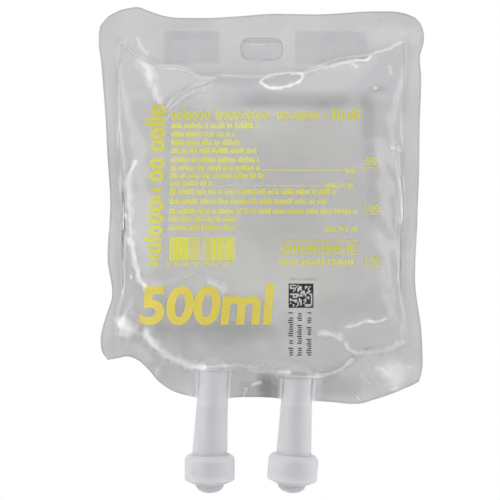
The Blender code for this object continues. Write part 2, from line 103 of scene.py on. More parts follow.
# How each cap sits on its tube: to the right, down and turned
CAP_NUDGE = {
    "left": (0.3 * MM, 0.5 * MM, math.radians(-3.0)),
    "right": (-0.1 * MM, 0.5 * MM, math.radians(1.5)),
}
FLOOR_Z = -0.32
LIT_POINT = Vector((0.0, 0.0, -0.09))

# Fineness of the films' meshes and of the liquid's
FRONT_CELL = 0.6 * MM
BACK_CELL = 0.9 * MM
FLANGE_CELL = 0.8 * MM
LIQUID_CELL = 1.3 * MM
LIQUID_CLEAR = 0.35 * MM
PRINT_CLEAR = 0.16 * MM
PRINT_CELL = 2.0  # photo pixels
# How far the print's left side leans, across for each step up
PRINT_LEAN = 0.031
# The tongue lies behind the front film and runs a little past the slot's edge
TONGUE_BACK = 0.5 * MM
TONGUE_OVERLAP = 0.3 * MM

# Fine relief of the films: gathers along the welds, slack over the liquid, the weld's bead, the
# slot's rim and the crumpled flange
GATHER_LENGTH = 13 * MM
GATHER_H = 0.45 * MM
SLACK_LENGTH = 34 * MM
SLACK_H = 0.4 * MM
WELD_BEAD_OUT = 0.5 * MM
WELD_BEAD_H = 0.2 * MM
SLOT_RIM_OUT = 0.9 * MM
SLOT_RIM_H = 0.3 * MM
CRUMPLE_LENGTH = 9 * MM

# The films' paint: how much painted highlight lightens each part of it (with some real whitening at
# the welds), how much painted shade darkens it, and how much it clears
PAINT_FIELDS = ("whitening_and_highlight", "painted_shade", "clearing", "warming")
WELD_WHITE = 0.68
HALO_WHITE = 0.22
RIM_WHITE = 0.14
SLEEVE_WHITE = 0.6
EDGE_DARK = 0.8
POCKET_DARK = 0.34
LIQUID_SHADE = 0.42
FLANGE_CLEAR = 0.085

# How far corners and sides are drawn in, in mm: a corner across and down, a side at shares of its
# length from the left or the top
FILM_CORNERS = {
    "top_left": (1.8, 6.6),
    "top_right": (1.9, 7.1),
    "bottom_right": (2.1, 9.5),
    "bottom_left": (4.7, 19.7),
}
FILM_SIDES = {
    "top": [(0.030, 4.0), (0.0484, 2.6), (0.0668, 1.4), (0.0913, 0.6), (0.123, 0.2),
            (0.155, 2.0), (0.20, 4.3), (0.31, 5.4), (0.44, 4.5), (0.51, 3.6), (0.68, 3.7),
            (0.865, 2.2), (0.917, 2.4), (0.957, 3.9), (0.9736, 5.1)],
    "right": [(0.0443, 1.3), (0.0543, 0.5), (0.066, 0.1), (0.09, 0.2), (0.122, 2.0),
              (0.175, 1.7), (0.31, 2.2), (0.54, 3.3), (0.707, 4.3), (0.816, 1.4),
              (0.866, 0.9), (0.915, 0.9)],
    "bottom": [(0.061, 21.2), (0.092, 22.1), (0.123, 20.2), (0.156, 15.5), (0.181, 10.8),
               (0.224, 6.1), (0.282, 3.3), (0.35, 2.6), (0.482, 2.8), (0.61, 1.9), (0.712, 0.5),
               (0.813, 0.0), (0.844, 1.4), (0.929, 5.8)],
    "left": [(0.0443, 0.6), (0.0544, 0.2), (0.0644, 0.0), (0.095, 0.1), (0.135, 1.2),
             (0.236, 2.8), (0.362, 4.2), (0.488, 5.6), (0.639, 4.5), (0.74, 6.2),
             (0.778, 3.8), (0.841, 1.4), (0.871, 2.4)],
}
CHAMBER_CORNERS = {
    "top_left": (1.9, 0.9),
    "top_right": (0.4, 0.4),
    "bottom_right": (0.2, 15.7),
    "bottom_left": (0.2, 19.0),
}
CHAMBER_SIDES = {
    "top": [(0.069, 7.5), (0.115, 10.8), (0.219, 12.7), (0.306, 16.0), (0.41, 16.9),
            (0.531, 16.9), (0.642, 14.6), (0.774, 8.9), (0.872, 7.0), (0.955, 2.8)],
    "right": [(0.057, 0.2), (0.147, 1.2), (0.237, 2.1), (0.351, 2.0), (0.504, 0.6),
              (0.696, 1.9), (0.774, 1.7), (0.843, 0.7)],
    "bottom": [(0.045, 18.1), (0.09, 17.2), (0.122, 12.0), (0.184, 8.5), (0.245, 4.2),
               (0.337, 3.8), (0.497, 1.8), (0.625, 0.5), (0.729, 0.2), (0.785, 4.0),
               (0.819, 8.2), (0.861, 11.5), (0.9375, 12.0)],
    "left": [(0.087, 0.7), (0.237, 0.7), (0.357, 1.2), (0.477, 2.1), (0.627, 1.9),
             (0.747, 2.4), (0.825, 0.7)],
}
# How far each corner curls to the back, and over what reach, in mm
CURLS = {
    "top_left": (2.6, 17.0),
    "top_right": (1.4, 20.0),
    "bottom_right": (3.2, 18.0),
    "bottom_left": (-4.2, 15.0),
}
# How far the sheet's cut corners are rounded in, and over what reach, in mm
TIP_ROUNDING = {
    "top_left": (0.15, 2.5),
    "top_right": (0.1, 2.5),
    "bottom_right": (0.35, 3.0),
    "bottom_left": (0.9, 3.5),
}
EDGE_WAVE = 1.1 * MM
EDGE_WAVE_LENGTH = 46.0 * MM

# Folds of the films: half width and height in mm, then the photo pixels on them
FRONT_FOLDS = [
    (1.8, 1.1, (136, 39), (143, 57)),
    (3.6, 0.9, (143, 57), (150, 80)),
    (2.6, 0.9, (150, 80), (160, 102)),
    (2.6, -0.6, (138, 60), (146, 92)),
    (1.3, -0.7, (166, 108), (190, 90)),
    (1.3, -0.6, (190, 90), (215, 80)),
    (1.0, 0.6, (172, 104), (208, 88)),
    (1.5, 0.6, (150, 66), (178, 69), (203, 79)),
    (2.6, 0.8, (300, 73), (332, 64)),
    (1.8, 0.8, (332, 64), (365, 58)),
    (1.2, 0.8, (365, 60), (402, 43)),
    (1.1, -0.6, (377, 50), (392, 35)),
    (2.4, 0.8, (388, 62), (391, 78)),
    (2.3, 0.6, (134, 160), (128, 178)),
    (2.5, 0.55, (128, 178), (130, 210), (133, 248)),
    (2.5, 0.7, (133, 248), (139, 276)),
    (2.6, 1.0, (139, 276), (147, 288)),
    (2.0, 0.8, (147, 288), (165, 285)),
    (1.6, 0.8, (165, 285), (199, 271)),
    (3.2, 1.2, (207, 282), (226, 289)),
    (1.5, 1.0, (347, 327), (366, 322)),
    (1.5, 0.9, (366, 322), (386, 320)),
    (2.0, 1.1, (320, 333), (336, 335)),
    (2.0, 1.2, (336, 335), (356, 352)),
    (6.0, -0.25, (371, 92), (369, 200)),
    (6.0, -0.3, (369, 200), (371, 300)),
    (5.0, -0.6, (300, 300), (360, 302)),
    (1.8, 0.6, (275, 306), (300, 305)),
    (2.4, 1.0, (150, 345), (172, 356)),
    (3.4, 1.2, (122, 318), (130, 334)),
]
BACK_FOLDS = [
    (3.5, -1.2, (150, 60), (210, 110)),
    (3.5, -1.2, (385, 60), (330, 110)),
    (3.5, 0.6, (128, 140), (135, 250)),
    (3.0, 1.2, (392, 150), (386, 260)),
    (3.0, -1.2, (145, 330), (200, 300)),
    (3.0, -1.2, (385, 325), (330, 298)),
    (3.5, -1.0, (240, 350), (262, 300)),
    (4.5, 0.8, (170, 100), (190, 170)),
    (4.5, 0.8, (355, 100), (350, 170)),
]
# Painted highlights on the front film's creases, folds, welds and bubbles: strength, half width in
# photo pixels, then the pixels on them
PAINTED_HIGHLIGHTS = [
    (0.75, 2.6, (137, 38), (141, 47), (147, 54)),
    (0.70, 8.0, (141, 59), (147, 68)),
    (0.72, 6.2, (147, 68), (151, 84)),
    (0.70, 4.4, (151, 84), (159, 102)),
    (0.42, 1.9, (117.5, 46), (118.5, 80), (119.5, 120), (121, 160), (122, 190)),
    (0.60, 1.4, (127, 37), (124, 42), (125, 47)),
    (0.50, 1.7, (150, 65), (172, 68), (188, 71), (199, 77), (216, 78)),
    (0.45, 1.4, (166, 108), (176, 95), (190, 87), (205, 82)),
    (0.45, 1.4, (170, 108), (186, 95), (198, 89), (212, 85)),
    (0.35, 1.2, (176, 104), (192, 94), (206, 90)),
    (0.50, 1.1, (165, 121), (169, 116), (176, 110)),
    (0.35, 1.5, (170.5, 190), (172, 198), (178, 205.5), (188, 209.5)),
    (0.85, 1.5, (402, 42), (388, 49), (373, 54), (367, 60), (355, 60)),
    (0.55, 2.4, (355, 60), (330, 66), (302, 73)),
    (0.60, 2.2, (353, 64), (357, 67)),
    (0.60, 2.6, (390, 67), (391, 73)),
    (0.95, 1.9, (262, 80), (272, 75), (290, 73), (302, 74), (300, 81), (288, 86), (272, 88),
     (263, 84), (262, 80)),
    (0.70, 2.0, (136, 161), (128, 176)),
    (0.75, 3.0, (128, 176), (129, 203)),
    (0.80, 2.8, (129, 203), (132, 247), (139, 278), (147, 288)),
    (1.00, 1.6, (125.5, 213.5), (125.8, 216)),
    (0.90, 2.6, (129, 239), (129.3, 243)),
    (0.90, 1.3, (131, 276), (131, 278)),
    (0.60, 4.0, (209, 282), (217, 285), (224, 290)),
    (0.35, 1.3, (165, 285), (182, 278), (200, 271)),
    (0.45, 1.1, (284, 30), (284, 56)),
    (1.00, 5.0, (146, 333), (153, 345), (170, 357), (188, 365), (204, 368)),
    (0.60, 3.0, (148, 334), (154, 343), (172, 355), (190, 363)),
    (0.90, 2.8, (204, 367), (228, 365.5), (240, 367), (262, 369.5), (290, 372.5)),
    (1.00, 8.5, (121, 323), (130, 330)),
    (0.85, 5.0, (120, 334), (130, 335)),
    (0.60, 4.5, (134, 336), (146, 334)),
    (0.90, 2.2, (316, 374), (322, 374.5), (335, 372), (345, 366), (352, 359)),
    (0.85, 2.2, (345, 344), (350, 350), (357, 353)),
    (0.75, 3.2, (357, 353), (372, 352), (388, 349), (404, 342)),
    (0.75, 3.0, (320, 333), (330, 334), (340, 339)),
    (0.80, 1.8, (347, 327), (356, 325), (366, 321), (376, 322), (386, 319)),
    (0.80, 1.1, (243, 397), (245, 392), (247.5, 388.5)),
    (0.80, 1.1, (242, 389), (247, 387.5), (252, 384.5)),
    (1.00, 1.9, (252, 384.5), (260, 382.5)),
    (0.45, 1.1, (271, 373), (272, 379), (275, 384)),
    (0.85, 1.3, (376, 368), (383, 369), (386, 373), (390, 374.5)),
    (0.50, 1.4, (390, 374.5), (391, 368), (400, 365.5)),
    (1.00, 1.6, (408.5, 366), (409.5, 367.5)),
    (0.80, 1.3, (361.5, 372), (362.3, 378.5)),
    (0.50, 1.3, (362.3, 378.5), (366, 382), (370.5, 383.5)),
    (0.70, 1.3, (391, 389.5), (397, 388)),
    (0.75, 1.2, (197.5, 370.8), (229, 370.3)),
    (0.60, 1.2, (283, 376.5), (312.5, 377.6)),
    (0.90, 1.4, (357, 397), (359, 399)),
    (0.60, 1.2, (190, 394), (193, 397)),
    (0.40, 2.5, (392, 148), (402, 150)),
    (0.60, 1.0, (266, 14), (267, 18)),
    (0.60, 1.0, (286, 14), (286, 18)),
    (0.45, 1.3, (243, 41), (240, 47), (242, 54), (249, 59), (259, 60)),
    (0.40, 1.2, (276, 42), (280, 48), (277, 55)),
]
# Broad bands of painted shade on the front, such as dark reflections under the liquid's level and
# the print's shadow: strength, half width in photo pixels, then the pixels on them
SHADES = [
    (0.35, 9.5, (224, 100), (358, 99)),
    (0.40, 9.0, (240, 100), (340, 100)),
    (0.40, 8.5, (256, 100), (322, 100)),
    (0.30, 9.0, (250, 99), (335, 99)),
    (0.40, 8.0, (368, 98), (369, 154)),
    (0.35, 7.5, (368, 98), (369, 132)),
    (0.35, 6.0, (372, 150), (373, 215)),
    (0.20, 6.0, (373, 215), (374, 295)),
    (0.75, 12.0, (160, 307), (262, 307)),
    (0.20, 5.0, (160, 327), (270, 327)),
    (0.28, 3.6, (168.5, 116), (164.5, 262)),
]
# Painted light (+) and painted shade (-) on areas of the front: amount, then middle and reach across
# and down in photo pixels
LIGHT_AND_SHADE_PATCHES = [
    (0.10, (135, 28), (32, 13)),
    (0.14, (257, 27), (42, 14)),
    (-0.45, (192, 24), (32, 7)),
    (-0.35, (191, 35), (29, 5)),
    (0.14, (233, 60), (12, 9)),
    (0.12, (279, 60), (12, 9)),
    (0.52, (387, 34), (30, 15)),
    (0.14, (345, 54), (38, 9)),
    (0.24, (403, 180), (6, 165)),
    (0.26, (413, 200), (10, 175)),
    (0.16, (113, 120), (6, 110)),
    (0.85, (394, 373), (25, 17)),
    (0.12, (120, 345), (20, 16)),
    (-0.5, (140, 328), (5, 5)),
    (-0.7, (376, 381), (10, 7)),
    (-0.95, (228, 331), (78, 15)),
    (-0.25, (387, 160), (8, 55)),
    (-0.5, (345, 308), (48, 15)),
    (-0.4, (300, 200), (60, 60)),
    (-0.5, (176, 372), (26, 16)),
    (-2.25, (268, 386), (15, 15)),
    (-0.6, (247, 390), (10, 12)),
    (-1.0, (335, 386), (32, 13)),
    (-1.0, (378, 89), (8, 3.4)),
    (0.9, (375.5, 88), (2.4, 1.6)),
    (-0.8, (149, 66), (2.4, 2.4)),
]
# Where the flange is crumpled, by photo pixel: middle, reach and height in mm
CRUMPLES = [
    ((385, 378), 13.0, 0.9),
    ((355, 392), 9.0, 0.3),
    ((150, 365), 12.0, 0.9),
    ((112, 345), 9.0, 0.8),
    ((262, 386), 8.0, 0.25),
    ((130, 30), 9.0, 0.6),
    ((400, 30), 9.0, 0.3),
    ((410, 240), 12.0, 0.4),
    ((110, 220), 14.0, 0.4),
]

# The print, in photo pixels. A box is its left, top, right and foot
PRINT_LINE = 1.2
# The title reads upwards: its words' lengths in blocks, and the pixel that it starts at
TITLE_WORDS = (7, 2, 5)
TITLE_START = (144.4, 266.0)
TITLE_LENGTH = 161.0
TITLE_MIDDLE = 185.5
# The heading's words: blocks, left and right
HEADING_WORDS = ((7, 171, 210), (11, 216, 268), (7, 277, 318.5), (5, 332.5, 360))
HEADING_BAND = (111.6, 120.2)
HEADING_DASH = (322.8, 116.0, 328.2, 117.6)
# Rows of small print: the height of each one's middle, and its right end
ROWS = [
    (125.6, 259), (133.9, 236), (142.4, 243), (150.4, 258), (159.6, 259), (167.8, 260),
    (175.6, 264), (183.1, 213), (191.6, 338), (201.2, 328), (211.0, 357), (218.8, 236),
    (227.3, 237),
]
ROW_START = (170.2, 175.5)
ROW_HALF = 3.0
THIN_LINES = [(262, 169.8, 345, 170.7), (216, 185.2, 325, 186.1)]
SMALL_WORDS = [(345, 168.3, 356, 173.0), (325.5, 183.0, 355.5, 188.4), (325, 226, 358, 231.7)]
# The bar code, the stretches where its bars are wide, and the row under it
CODE_BOX = (170.0, 237, 236.0, 260.5)
CODE_DENSE = [(169.9, 186), (210, 230)]
CODE_DIGITS = (167, 261.3, 236, 266.2)
PANEL = (279, 240.5, 358, 254.5)
PANEL_WORDS = (284, 243.2, 355, 251.8)
UNDER_PANEL = (279, 258, 357, 265)
SCALE = {
    "50": (365.5, 157.5, 377, 165),
    "100": (364.5, 204.5, 380, 212),
    "150": (364.8, 256.3, 380, 264.3),
}
SCALE_LINES = [(360, 168), (363, 214), (363, 267)]
SCALE_RIGHT = 381
VOLUME = {"500": (139.2, 285.9, 220.6, 325.2), "ml": (220.5, 283.2, 274.6, 324.6)}
# The square field of modules, the three rows that read upwards under it and the one over it
FIELD_FRAME = (288.6, 283.6, 313.4, 307.8)
FIELD_START = (289.8, 284.5)
MODULES = 15
MODULE = 1.5
DATE_ROWS = [(288.2, 293.0), (297.0, 301.8), (306.4, 311.4)]
DATE_FOOT = 355.5
DATE_LENGTH = 44.5
OVER_FIELD = (290, 277.6, 315, 280.4)


def curve_through(points):
    """A smooth curve through points, as a function of their first coordinate."""
    at, value = np.array(sorted(points)).T
    slope = np.gradient(value, at)

    def curve(x):
        i = np.clip(np.searchsorted(at, x) - 1, 0, len(at) - 2)
        step = at[i + 1] - at[i]
        t = np.clip((x - at[i]) / step, 0.0, 1.0)
        start = value[i] * (2 * t**3 - 3 * t**2 + 1) + slope[i] * step * (t**3 - 2 * t**2 + t)
        end = value[i + 1] * (3 * t**2 - 2 * t**3) + slope[i + 1] * step * (t**3 - t**2)
        return start + end

    return curve


class Outline:
    """A rectangle whose corners and sides are drawn in."""

    def __init__(self, left, right, bottom, top, corners, sides):
        self.left, self.right, self.bottom, self.top = left, right, bottom, top
        self.corner = {
            name: (
                left + across * MM if "left" in name else right - across * MM,
                bottom + down * MM if "bottom" in name else top - down * MM,
            )
            for name, (across, down) in corners.items()
        }
        edge = {"left": (left, MM), "right": (right, -MM)}
        edge |= {"bottom": (bottom, MM), "top": (top, -MM)}
        self.side = {}
        for name, pulls in sides.items():
            level, inwards = edge[name]
            if name in ("top", "bottom"):
                start, run = left, right - left
                ends = [self.corner[f"{name}_{end}"] for end in ("left", "right")]
            else:
                start, run = top, bottom - top
                ends = [self.corner[f"{end}_{name}"][::-1] for end in ("top", "bottom")]
            points = [(start + share * run, level + pull * inwards) for share, pull in pulls]
            self.side[name] = curve_through(points + ends)

    def depth_inside(self, x, z):
        """About how far a point lies inside the outline, negative outside it."""
        across = np.minimum(x - self.side["left"](z), self.side["right"](z) - x)
        return np.minimum(across, np.minimum(self.side["top"](x) - z, z - self.side["bottom"](x)))


FILM = Outline(-FILM_W / 2, FILM_W / 2, TOP_MARGIN - FILM_H, TOP_MARGIN, FILM_CORNERS, FILM_SIDES)
CHAMBER = Outline(
    FILM.left + SIDE_WELD,
    FILM.right - SIDE_WELD,
    FILM.bottom + FOOT_WELD,
    FILM.top - HEADER,
    CHAMBER_CORNERS,
    CHAMBER_SIDES,
)
PORT_X = {"left": -PORT_SHIFT - PORT_SPACING / 2, "right": -PORT_SHIFT + PORT_SPACING / 2}
LIQUID_LEVEL = CHAMBER.top - HEADSPACE
EYE_X = (PHOTO_SIDE / 2 - SLOT_PIXEL[0]) * PIXEL
EYE_Z = (SLOT_PIXEL[1] - PHOTO_SIDE / 2) * PIXEL


def bell(value, width):
    """1 where a value is 0, fading to nothing as it grows past a width."""
    return np.exp(-((value / width) ** 2))


def nearness(x, z, place, reach):
    """1 at a place, fading to nothing past a reach."""
    return np.exp(-((x - place[0]) ** 2 + (z - place[1]) ** 2) / reach**2)


def coons(top, bottom, left, right, s, t):
    """Fills the patch between four rows of points, at s across and t down it."""
    top, bottom, left, right = (np.array(side) for side in (top, bottom, left, right))
    s, t = s[None, :, None], t[:, None, None]
    ruled = (1 - t) * top[None] + t * bottom[None] + (1 - s) * left[:, None] + s * right[:, None]
    corners = (1 - t) * ((1 - s) * top[0] + s * top[-1]) + t * (
        (1 - s) * bottom[0] + s * bottom[-1]
    )
    return ruled - corners


def between(start, end, count):
    """Points on the straight line from start to end."""
    return [tuple(np.array(start) + (np.array(end) - start) * k / count) for k in range(count + 1)]


def seam_rows(cell):
    """The shares at which rows and columns stand, and the points where they meet two outlines."""
    inner = CHAMBER.corner
    s = np.linspace(0, 1, round((CHAMBER.right - CHAMBER.left) / cell) + 1)
    t = np.linspace(0, 1, round((CHAMBER.top - CHAMBER.bottom) / cell) + 1)

    def across(side, name):
        x = inner[name + "_left"][0] + s * (inner[name + "_right"][0] - inner[name + "_left"][0])
        return list(zip(x, side(x)))

    def down(side, name):
        z = inner["top_" + name][1] + t * (inner["bottom_" + name][1] - inner["top_" + name][1])
        return list(zip(side(z), z))

    rows = []
    for outline in (CHAMBER, FILM):
        edge = {name: across(outline.side[name], name) for name in ("top", "bottom")}
        edge |= {name: down(outline.side[name], name) for name in ("left", "right")}
        rows.append(edge)
    return s, t, *rows


def chamber_lattice(cell):
    """The (x, z) of a lattice over the chamber alone."""
    s, t, seam, _ = seam_rows(cell)
    return coons(seam["top"], seam["bottom"], seam["left"], seam["right"], s, t)


def film_lattice(cell, flange):
    """The (x, z) of every crossing of the film's rows and columns, from the top left."""
    s, t, seam, rim = seam_rows(cell)

    def strip(name, rows):
        """The patch from one side of the film's edge inwards to the chamber's."""
        outer, inner = np.array(rim[name]), np.array(seam[name])
        return np.array([outer + (inner - outer) * k / rows for k in range(rows + 1)])

    def corner_patch(vertical, horizontal, rows):
        """The patch outside one corner of the chamber, from the sheet's tip inwards."""
        corner = vertical + "_" + horizontal
        tip, near = FILM.corner[corner], CHAMBER.corner[corner]
        on_edge = rim[vertical][0 if horizontal == "left" else -1]
        on_side = rim[horizontal][0 if vertical == "top" else -1]
        x = np.linspace(tip[0], on_edge[0], flange + 1)[1:-1]
        z = np.linspace(tip[1], on_side[1], rows + 1)[1:-1]
        edge = [tip, *zip(x, FILM.side[vertical](x)), on_edge]
        side = [tip, *zip(FILM.side[horizontal](z), z), on_side]
        inner = between(on_side, near, flange), between(on_edge, near, rows)
        even = np.linspace(0, 1, flange + 1), np.linspace(0, 1, rows + 1)
        return coons(edge, inner[0], side, inner[1], *even)

    def joined(left, middle, right):
        """Three patches side by side; the left and right ones run inwards."""
        return np.concatenate([left[:, :-1], middle, right[:, -2::-1]], axis=1)

    def band(name, rows):
        """The rows over or under the chamber, from the film's edge inwards."""
        left, right = (corner_patch(name, side, rows) for side in ("left", "right"))
        return joined(left, strip(name, rows), right)

    left, right = (strip(name, flange).transpose(1, 0, 2) for name in ("left", "right"))
    chamber = coons(seam["top"], seam["bottom"], seam["left"], seam["right"], s, t)
    header, foot = band("top", round(2 * HEADER / cell)), band("bottom", round(FOOT_WELD / cell))
    places = np.concatenate([header[:-1], joined(left, chamber, right), foot[-2::-1]], axis=0)
    for name, (inset, reach) in TIP_ROUNDING.items():
        tip, near = np.array(FILM.corner[name]), np.array(CHAMBER.corner[name])
        inwards = (near - tip) / np.hypot(*(near - tip))
        away = np.hypot(*(places - tip).transpose(2, 0, 1))
        places = places + inwards * (inset * MM * bell(away, reach * MM))[..., None]
    return places


def swell(share):
    """The bulge's profile across the chamber, 0 at the welds and 1 in the middle."""
    return (1 - np.abs(2 * share - 1) ** FULLNESS) ** SHOULDER


def swelling_at(x, z):
    """How far the chamber bulges at a point, from 0 at its welds to 1."""
    left, right = CHAMBER.side["left"](z), CHAMBER.side["right"](z)
    top, bottom = CHAMBER.side["top"](x), CHAMBER.side["bottom"](x)
    s = np.clip((x - left) / (right - left), 0.0, 1.0)
    t = np.clip((top - z) / (top - bottom), 0.0, 1.0)
    return swell(s) * swell(t**SAG)


def smooth_step(value):
    """0 below 0, 1 above 1 and smooth in between."""
    value = np.clip(value, 0.0, 1.0)
    return value * value * (3 - 2 * value)


def waves(x, z, length, seed, count=6):
    """A smooth random surface from about -1 to 1, in waves of about this length."""
    draw = np.random.default_rng(seed)
    total = np.zeros_like(x)
    for _ in range(count):
        angle, phase = draw.uniform(0, 2 * math.pi, 2)
        k = 2 * math.pi / (length * draw.uniform(0.7, 1.5))
        total += np.sin(k * (x * math.cos(angle) + z * math.sin(angle)) + phase)
    return total / math.sqrt(count)


def creases(x, z, length, seed, count=5):
    """A crumpled surface from about -1 to 1: flat facets that meet in sharp ridges."""
    draw = np.random.default_rng(seed)
    bent = waves(x, z, 2.5 * length, seed + 50) * 0.35 * length
    total = np.zeros_like(x)
    for k in range(count):
        angle = math.pi * (k + draw.uniform(-0.3, 0.3)) / count
        run = (x + bent) * math.cos(angle) + (z - bent) * math.sin(angle)
        run = run / (length * draw.uniform(0.8, 1.9)) + draw.uniform(0, 1)
        total += 2 * np.abs(2 * (run % 1.0) - 1) - 1
    return total / math.sqrt(count)


def place_of(px, py):
    """The (x, z) of a photo pixel on the middle plane."""
    return (px - SLOT_PIXEL[0]) * PIXEL, (SLOT_PIXEL[1] - py) * PIXEL


def past_line(x, z, start, end):
    """The distance of each point from a straight line between two photo pixels."""
    (x0, z0), (x1, z1) = place_of(*start), place_of(*end)
    length = math.hypot(x1 - x0, z1 - z0)
    ux, uz = (x1 - x0) / length, (z1 - z0) / length
    run = (x - x0) * ux + (z - z0) * uz
    off = (x - x0) * uz - (z - z0) * ux
    return np.hypot(off, np.maximum(0.0, np.maximum(-run, run - length)))


def fold_height(x, z, folds):
    """The height of all folds at each point."""
    height = np.zeros_like(x)
    for half_width, rise, *pixels in folds:
        for start, end in zip(pixels, pixels[1:]):
            height += rise * MM * bell(past_line(x, z, start, end), half_width * MM)
    return height


def rounded_path(pixels):
    """A smooth path through photo pixels, as short straight steps."""
    if len(pixels) < 3:
        return list(pixels)
    points = np.array(pixels, dtype=float)
    closed = pixels[0] == pixels[-1]
    before = points[-2] if closed else 2 * points[0] - points[1]
    after = points[1] if closed else 2 * points[-1] - points[-2]
    points = np.concatenate([[before], points, [after]])
    path = []
    for a, b, c, d in zip(points, points[1:], points[2:], points[3:]):
        for t in np.linspace(0, 1, 5)[:-1]:
            curve = 2 * b + (c - a) * t + (2 * a - 5 * b + 4 * c - d) * t**2
            path.append(tuple((curve + (3 * b - a - 3 * c + d) * t**3) / 2))
    path.append(tuple(points[-2]))
    return path


def painted(x, z):
    """How much painted highlights and painted shade lighten and darken the front film, laid out as
    seen from the camera.
    """
    share = 1 + front_y(x, z) / CAMERA_DISTANCE
    x, z = EYE_X + (x - EYE_X) / share, EYE_Z + (z - EYE_Z) / share
    ragged = 1 + 0.3 * waves(x, z, 5 * MM, 31)
    uneven = 1 + 0.12 * waves(x, z, 12 * MM, 32)
    white, dark = np.zeros_like(x), np.zeros_like(x)
    for strength, half_width, *pixels in PAINTED_HIGHLIGHTS:
        path = rounded_path(pixels)
        for start, end in zip(path, path[1:]):
            away = past_line(x, z, start, end)
            white = np.maximum(white, strength * bell(away, half_width * PIXEL * ragged))
    for strength, half_width, start, end in SHADES:
        away = past_line(x, z, start, end) / (half_width * PIXEL)
        dark = dark + strength * np.exp(-(away**3))
    for amount, middle, (across, down) in LIGHT_AND_SHADE_PATCHES:
        mx, mz = place_of(*middle)
        away = np.hypot((x - mx) / (across * PIXEL), (z - mz) / (down * PIXEL)) / uneven
        near = np.exp(-(away**3))
        if amount > 0:
            white = white + amount * near * (1 - white)
        else:
            dark = dark - amount * near
    return white, dark


def pocket_share(x, z):
    """1 in the header's unsealed pockets, 0 where the films are welded."""
    total = np.zeros_like(x)
    for left, right in (LEFT_POCKET, RIGHT_POCKET):
        inside = np.minimum(x - left, right - x)
        inside = np.minimum(inside, np.minimum(POCKET_TOP - z, z + POCKET_FOOT))
        total += smooth_step(inside / POCKET_EDGE)
    return total


def from_axis(x, z, port_x):
    """The distance of each point from a leaning port's axis."""
    axis = port_x + math.tan(PORT_LEAN) * (z - FILM.bottom)
    return np.abs(x - axis) * math.cos(PORT_LEAN)


def tube_wrap(x, z):
    """The films' half opening round the port tubes: a round top with straight sides to the weld."""
    radius = TUBE_TOP_D / 2 + TUBE_WALL_CLEAR
    reach = WRAP * radius
    slope = radius / math.sqrt(reach**2 - radius**2)
    opening = np.zeros_like(x)
    for port_x in PORT_X.values():
        d = from_axis(x, z, port_x)
        round_top = np.sqrt(np.maximum(radius**2 - d**2, 0.0))
        wrapped = np.where(d < radius**2 / reach, round_top, (reach - d) * slope)
        opening = np.maximum(opening, wrapped)
    faded = CHAMBER.bottom + 2 * FOOT_WELD
    return opening * np.clip((faded - z) / FOOT_WELD, 0.0, 1.0)


def tube_top(side):
    """How high the tube's inner end stands: at the chamber's weld line."""
    radius = TUBE_TOP_D / 2
    across = np.linspace(-radius, radius, 9) + PORT_X[side]
    lowest = float(np.min(CHAMBER.side["bottom"](across)))
    return lowest - FILM.bottom - radius * math.sin(PORT_LEAN) + 0.8 * MM


def middle_plane(x, z):
    """How far the bag's middle plane is bent to the back: curls, waving welds and crumples."""
    bend = np.zeros_like(x)
    for name, (amount, reach) in CURLS.items():
        bend += amount * MM * nearness(x, z, FILM.corner[name], reach * MM)
    left, right = CHAMBER.side["left"](z), CHAMBER.side["right"](z)
    outside = np.maximum(0.0, np.maximum(left - x, x - right)) / SIDE_WELD
    bend += EDGE_WAVE * outside * np.sin(2 * math.pi * z / EDGE_WAVE_LENGTH)
    flange = smooth_step(-CHAMBER.depth_inside(x, z) / (4 * MM))
    crumple = np.zeros_like(x)
    for middle, reach, height in CRUMPLES:
        near = nearness(x, z, place_of(*middle), reach * MM)
        crumple = np.maximum(crumple, height * MM * near)
    return bend + flange * crumple * creases(x, z, CRUMPLE_LENGTH, 3)


def film_y(x, z, side):
    """One film's y at each point; side is -1 at the front and 1 at the back."""
    swelling = swelling_at(x, z)
    inside = CHAMBER.depth_inside(x, z)
    folds = FRONT_FOLDS if side < 0 else BACK_FOLDS
    # Less relief over the liquid's level, where the film hangs straight, and beside the left weld
    taut = 0.25 + 0.75 * smooth_step((-26 * MM - z) / (14 * MM))
    calm = 1 - 0.8 * bell(x + 66 * MM, 8 * MM) * smooth_step((z + 118 * MM) / (12 * MM))
    gathers = waves(x, z, GATHER_LENGTH, 17 + 6 * side) * bell(inside - 7 * MM, 6 * MM)
    slack = waves(x, z, SLACK_LENGTH, 18 + 6 * side) * smooth_step(inside / (14 * MM))
    relief = gathers * GATHER_H * taut * calm + slack * SLACK_H * taut
    relief = fold_height(x, z, folds) + relief
    pillow = BULGE * swelling + relief * np.minimum(1.0, 3 * swelling)
    flat = WELD_GAP / 2 + 0.6 * POCKET_PUFF * pocket_share(x, z)
    half = np.maximum(np.maximum(flat, pillow), tube_wrap(x, z) + WELD_GAP / 2)
    bead = WELD_BEAD_H * bell(inside + WELD_BEAD_OUT, 0.75 * MM)
    rim = SLOT_RIM_H * bell(slot_side(x, z) - SLOT_RIM_OUT, 0.5 * MM)
    return middle_plane(x, z) + side * (half + bead + rim)


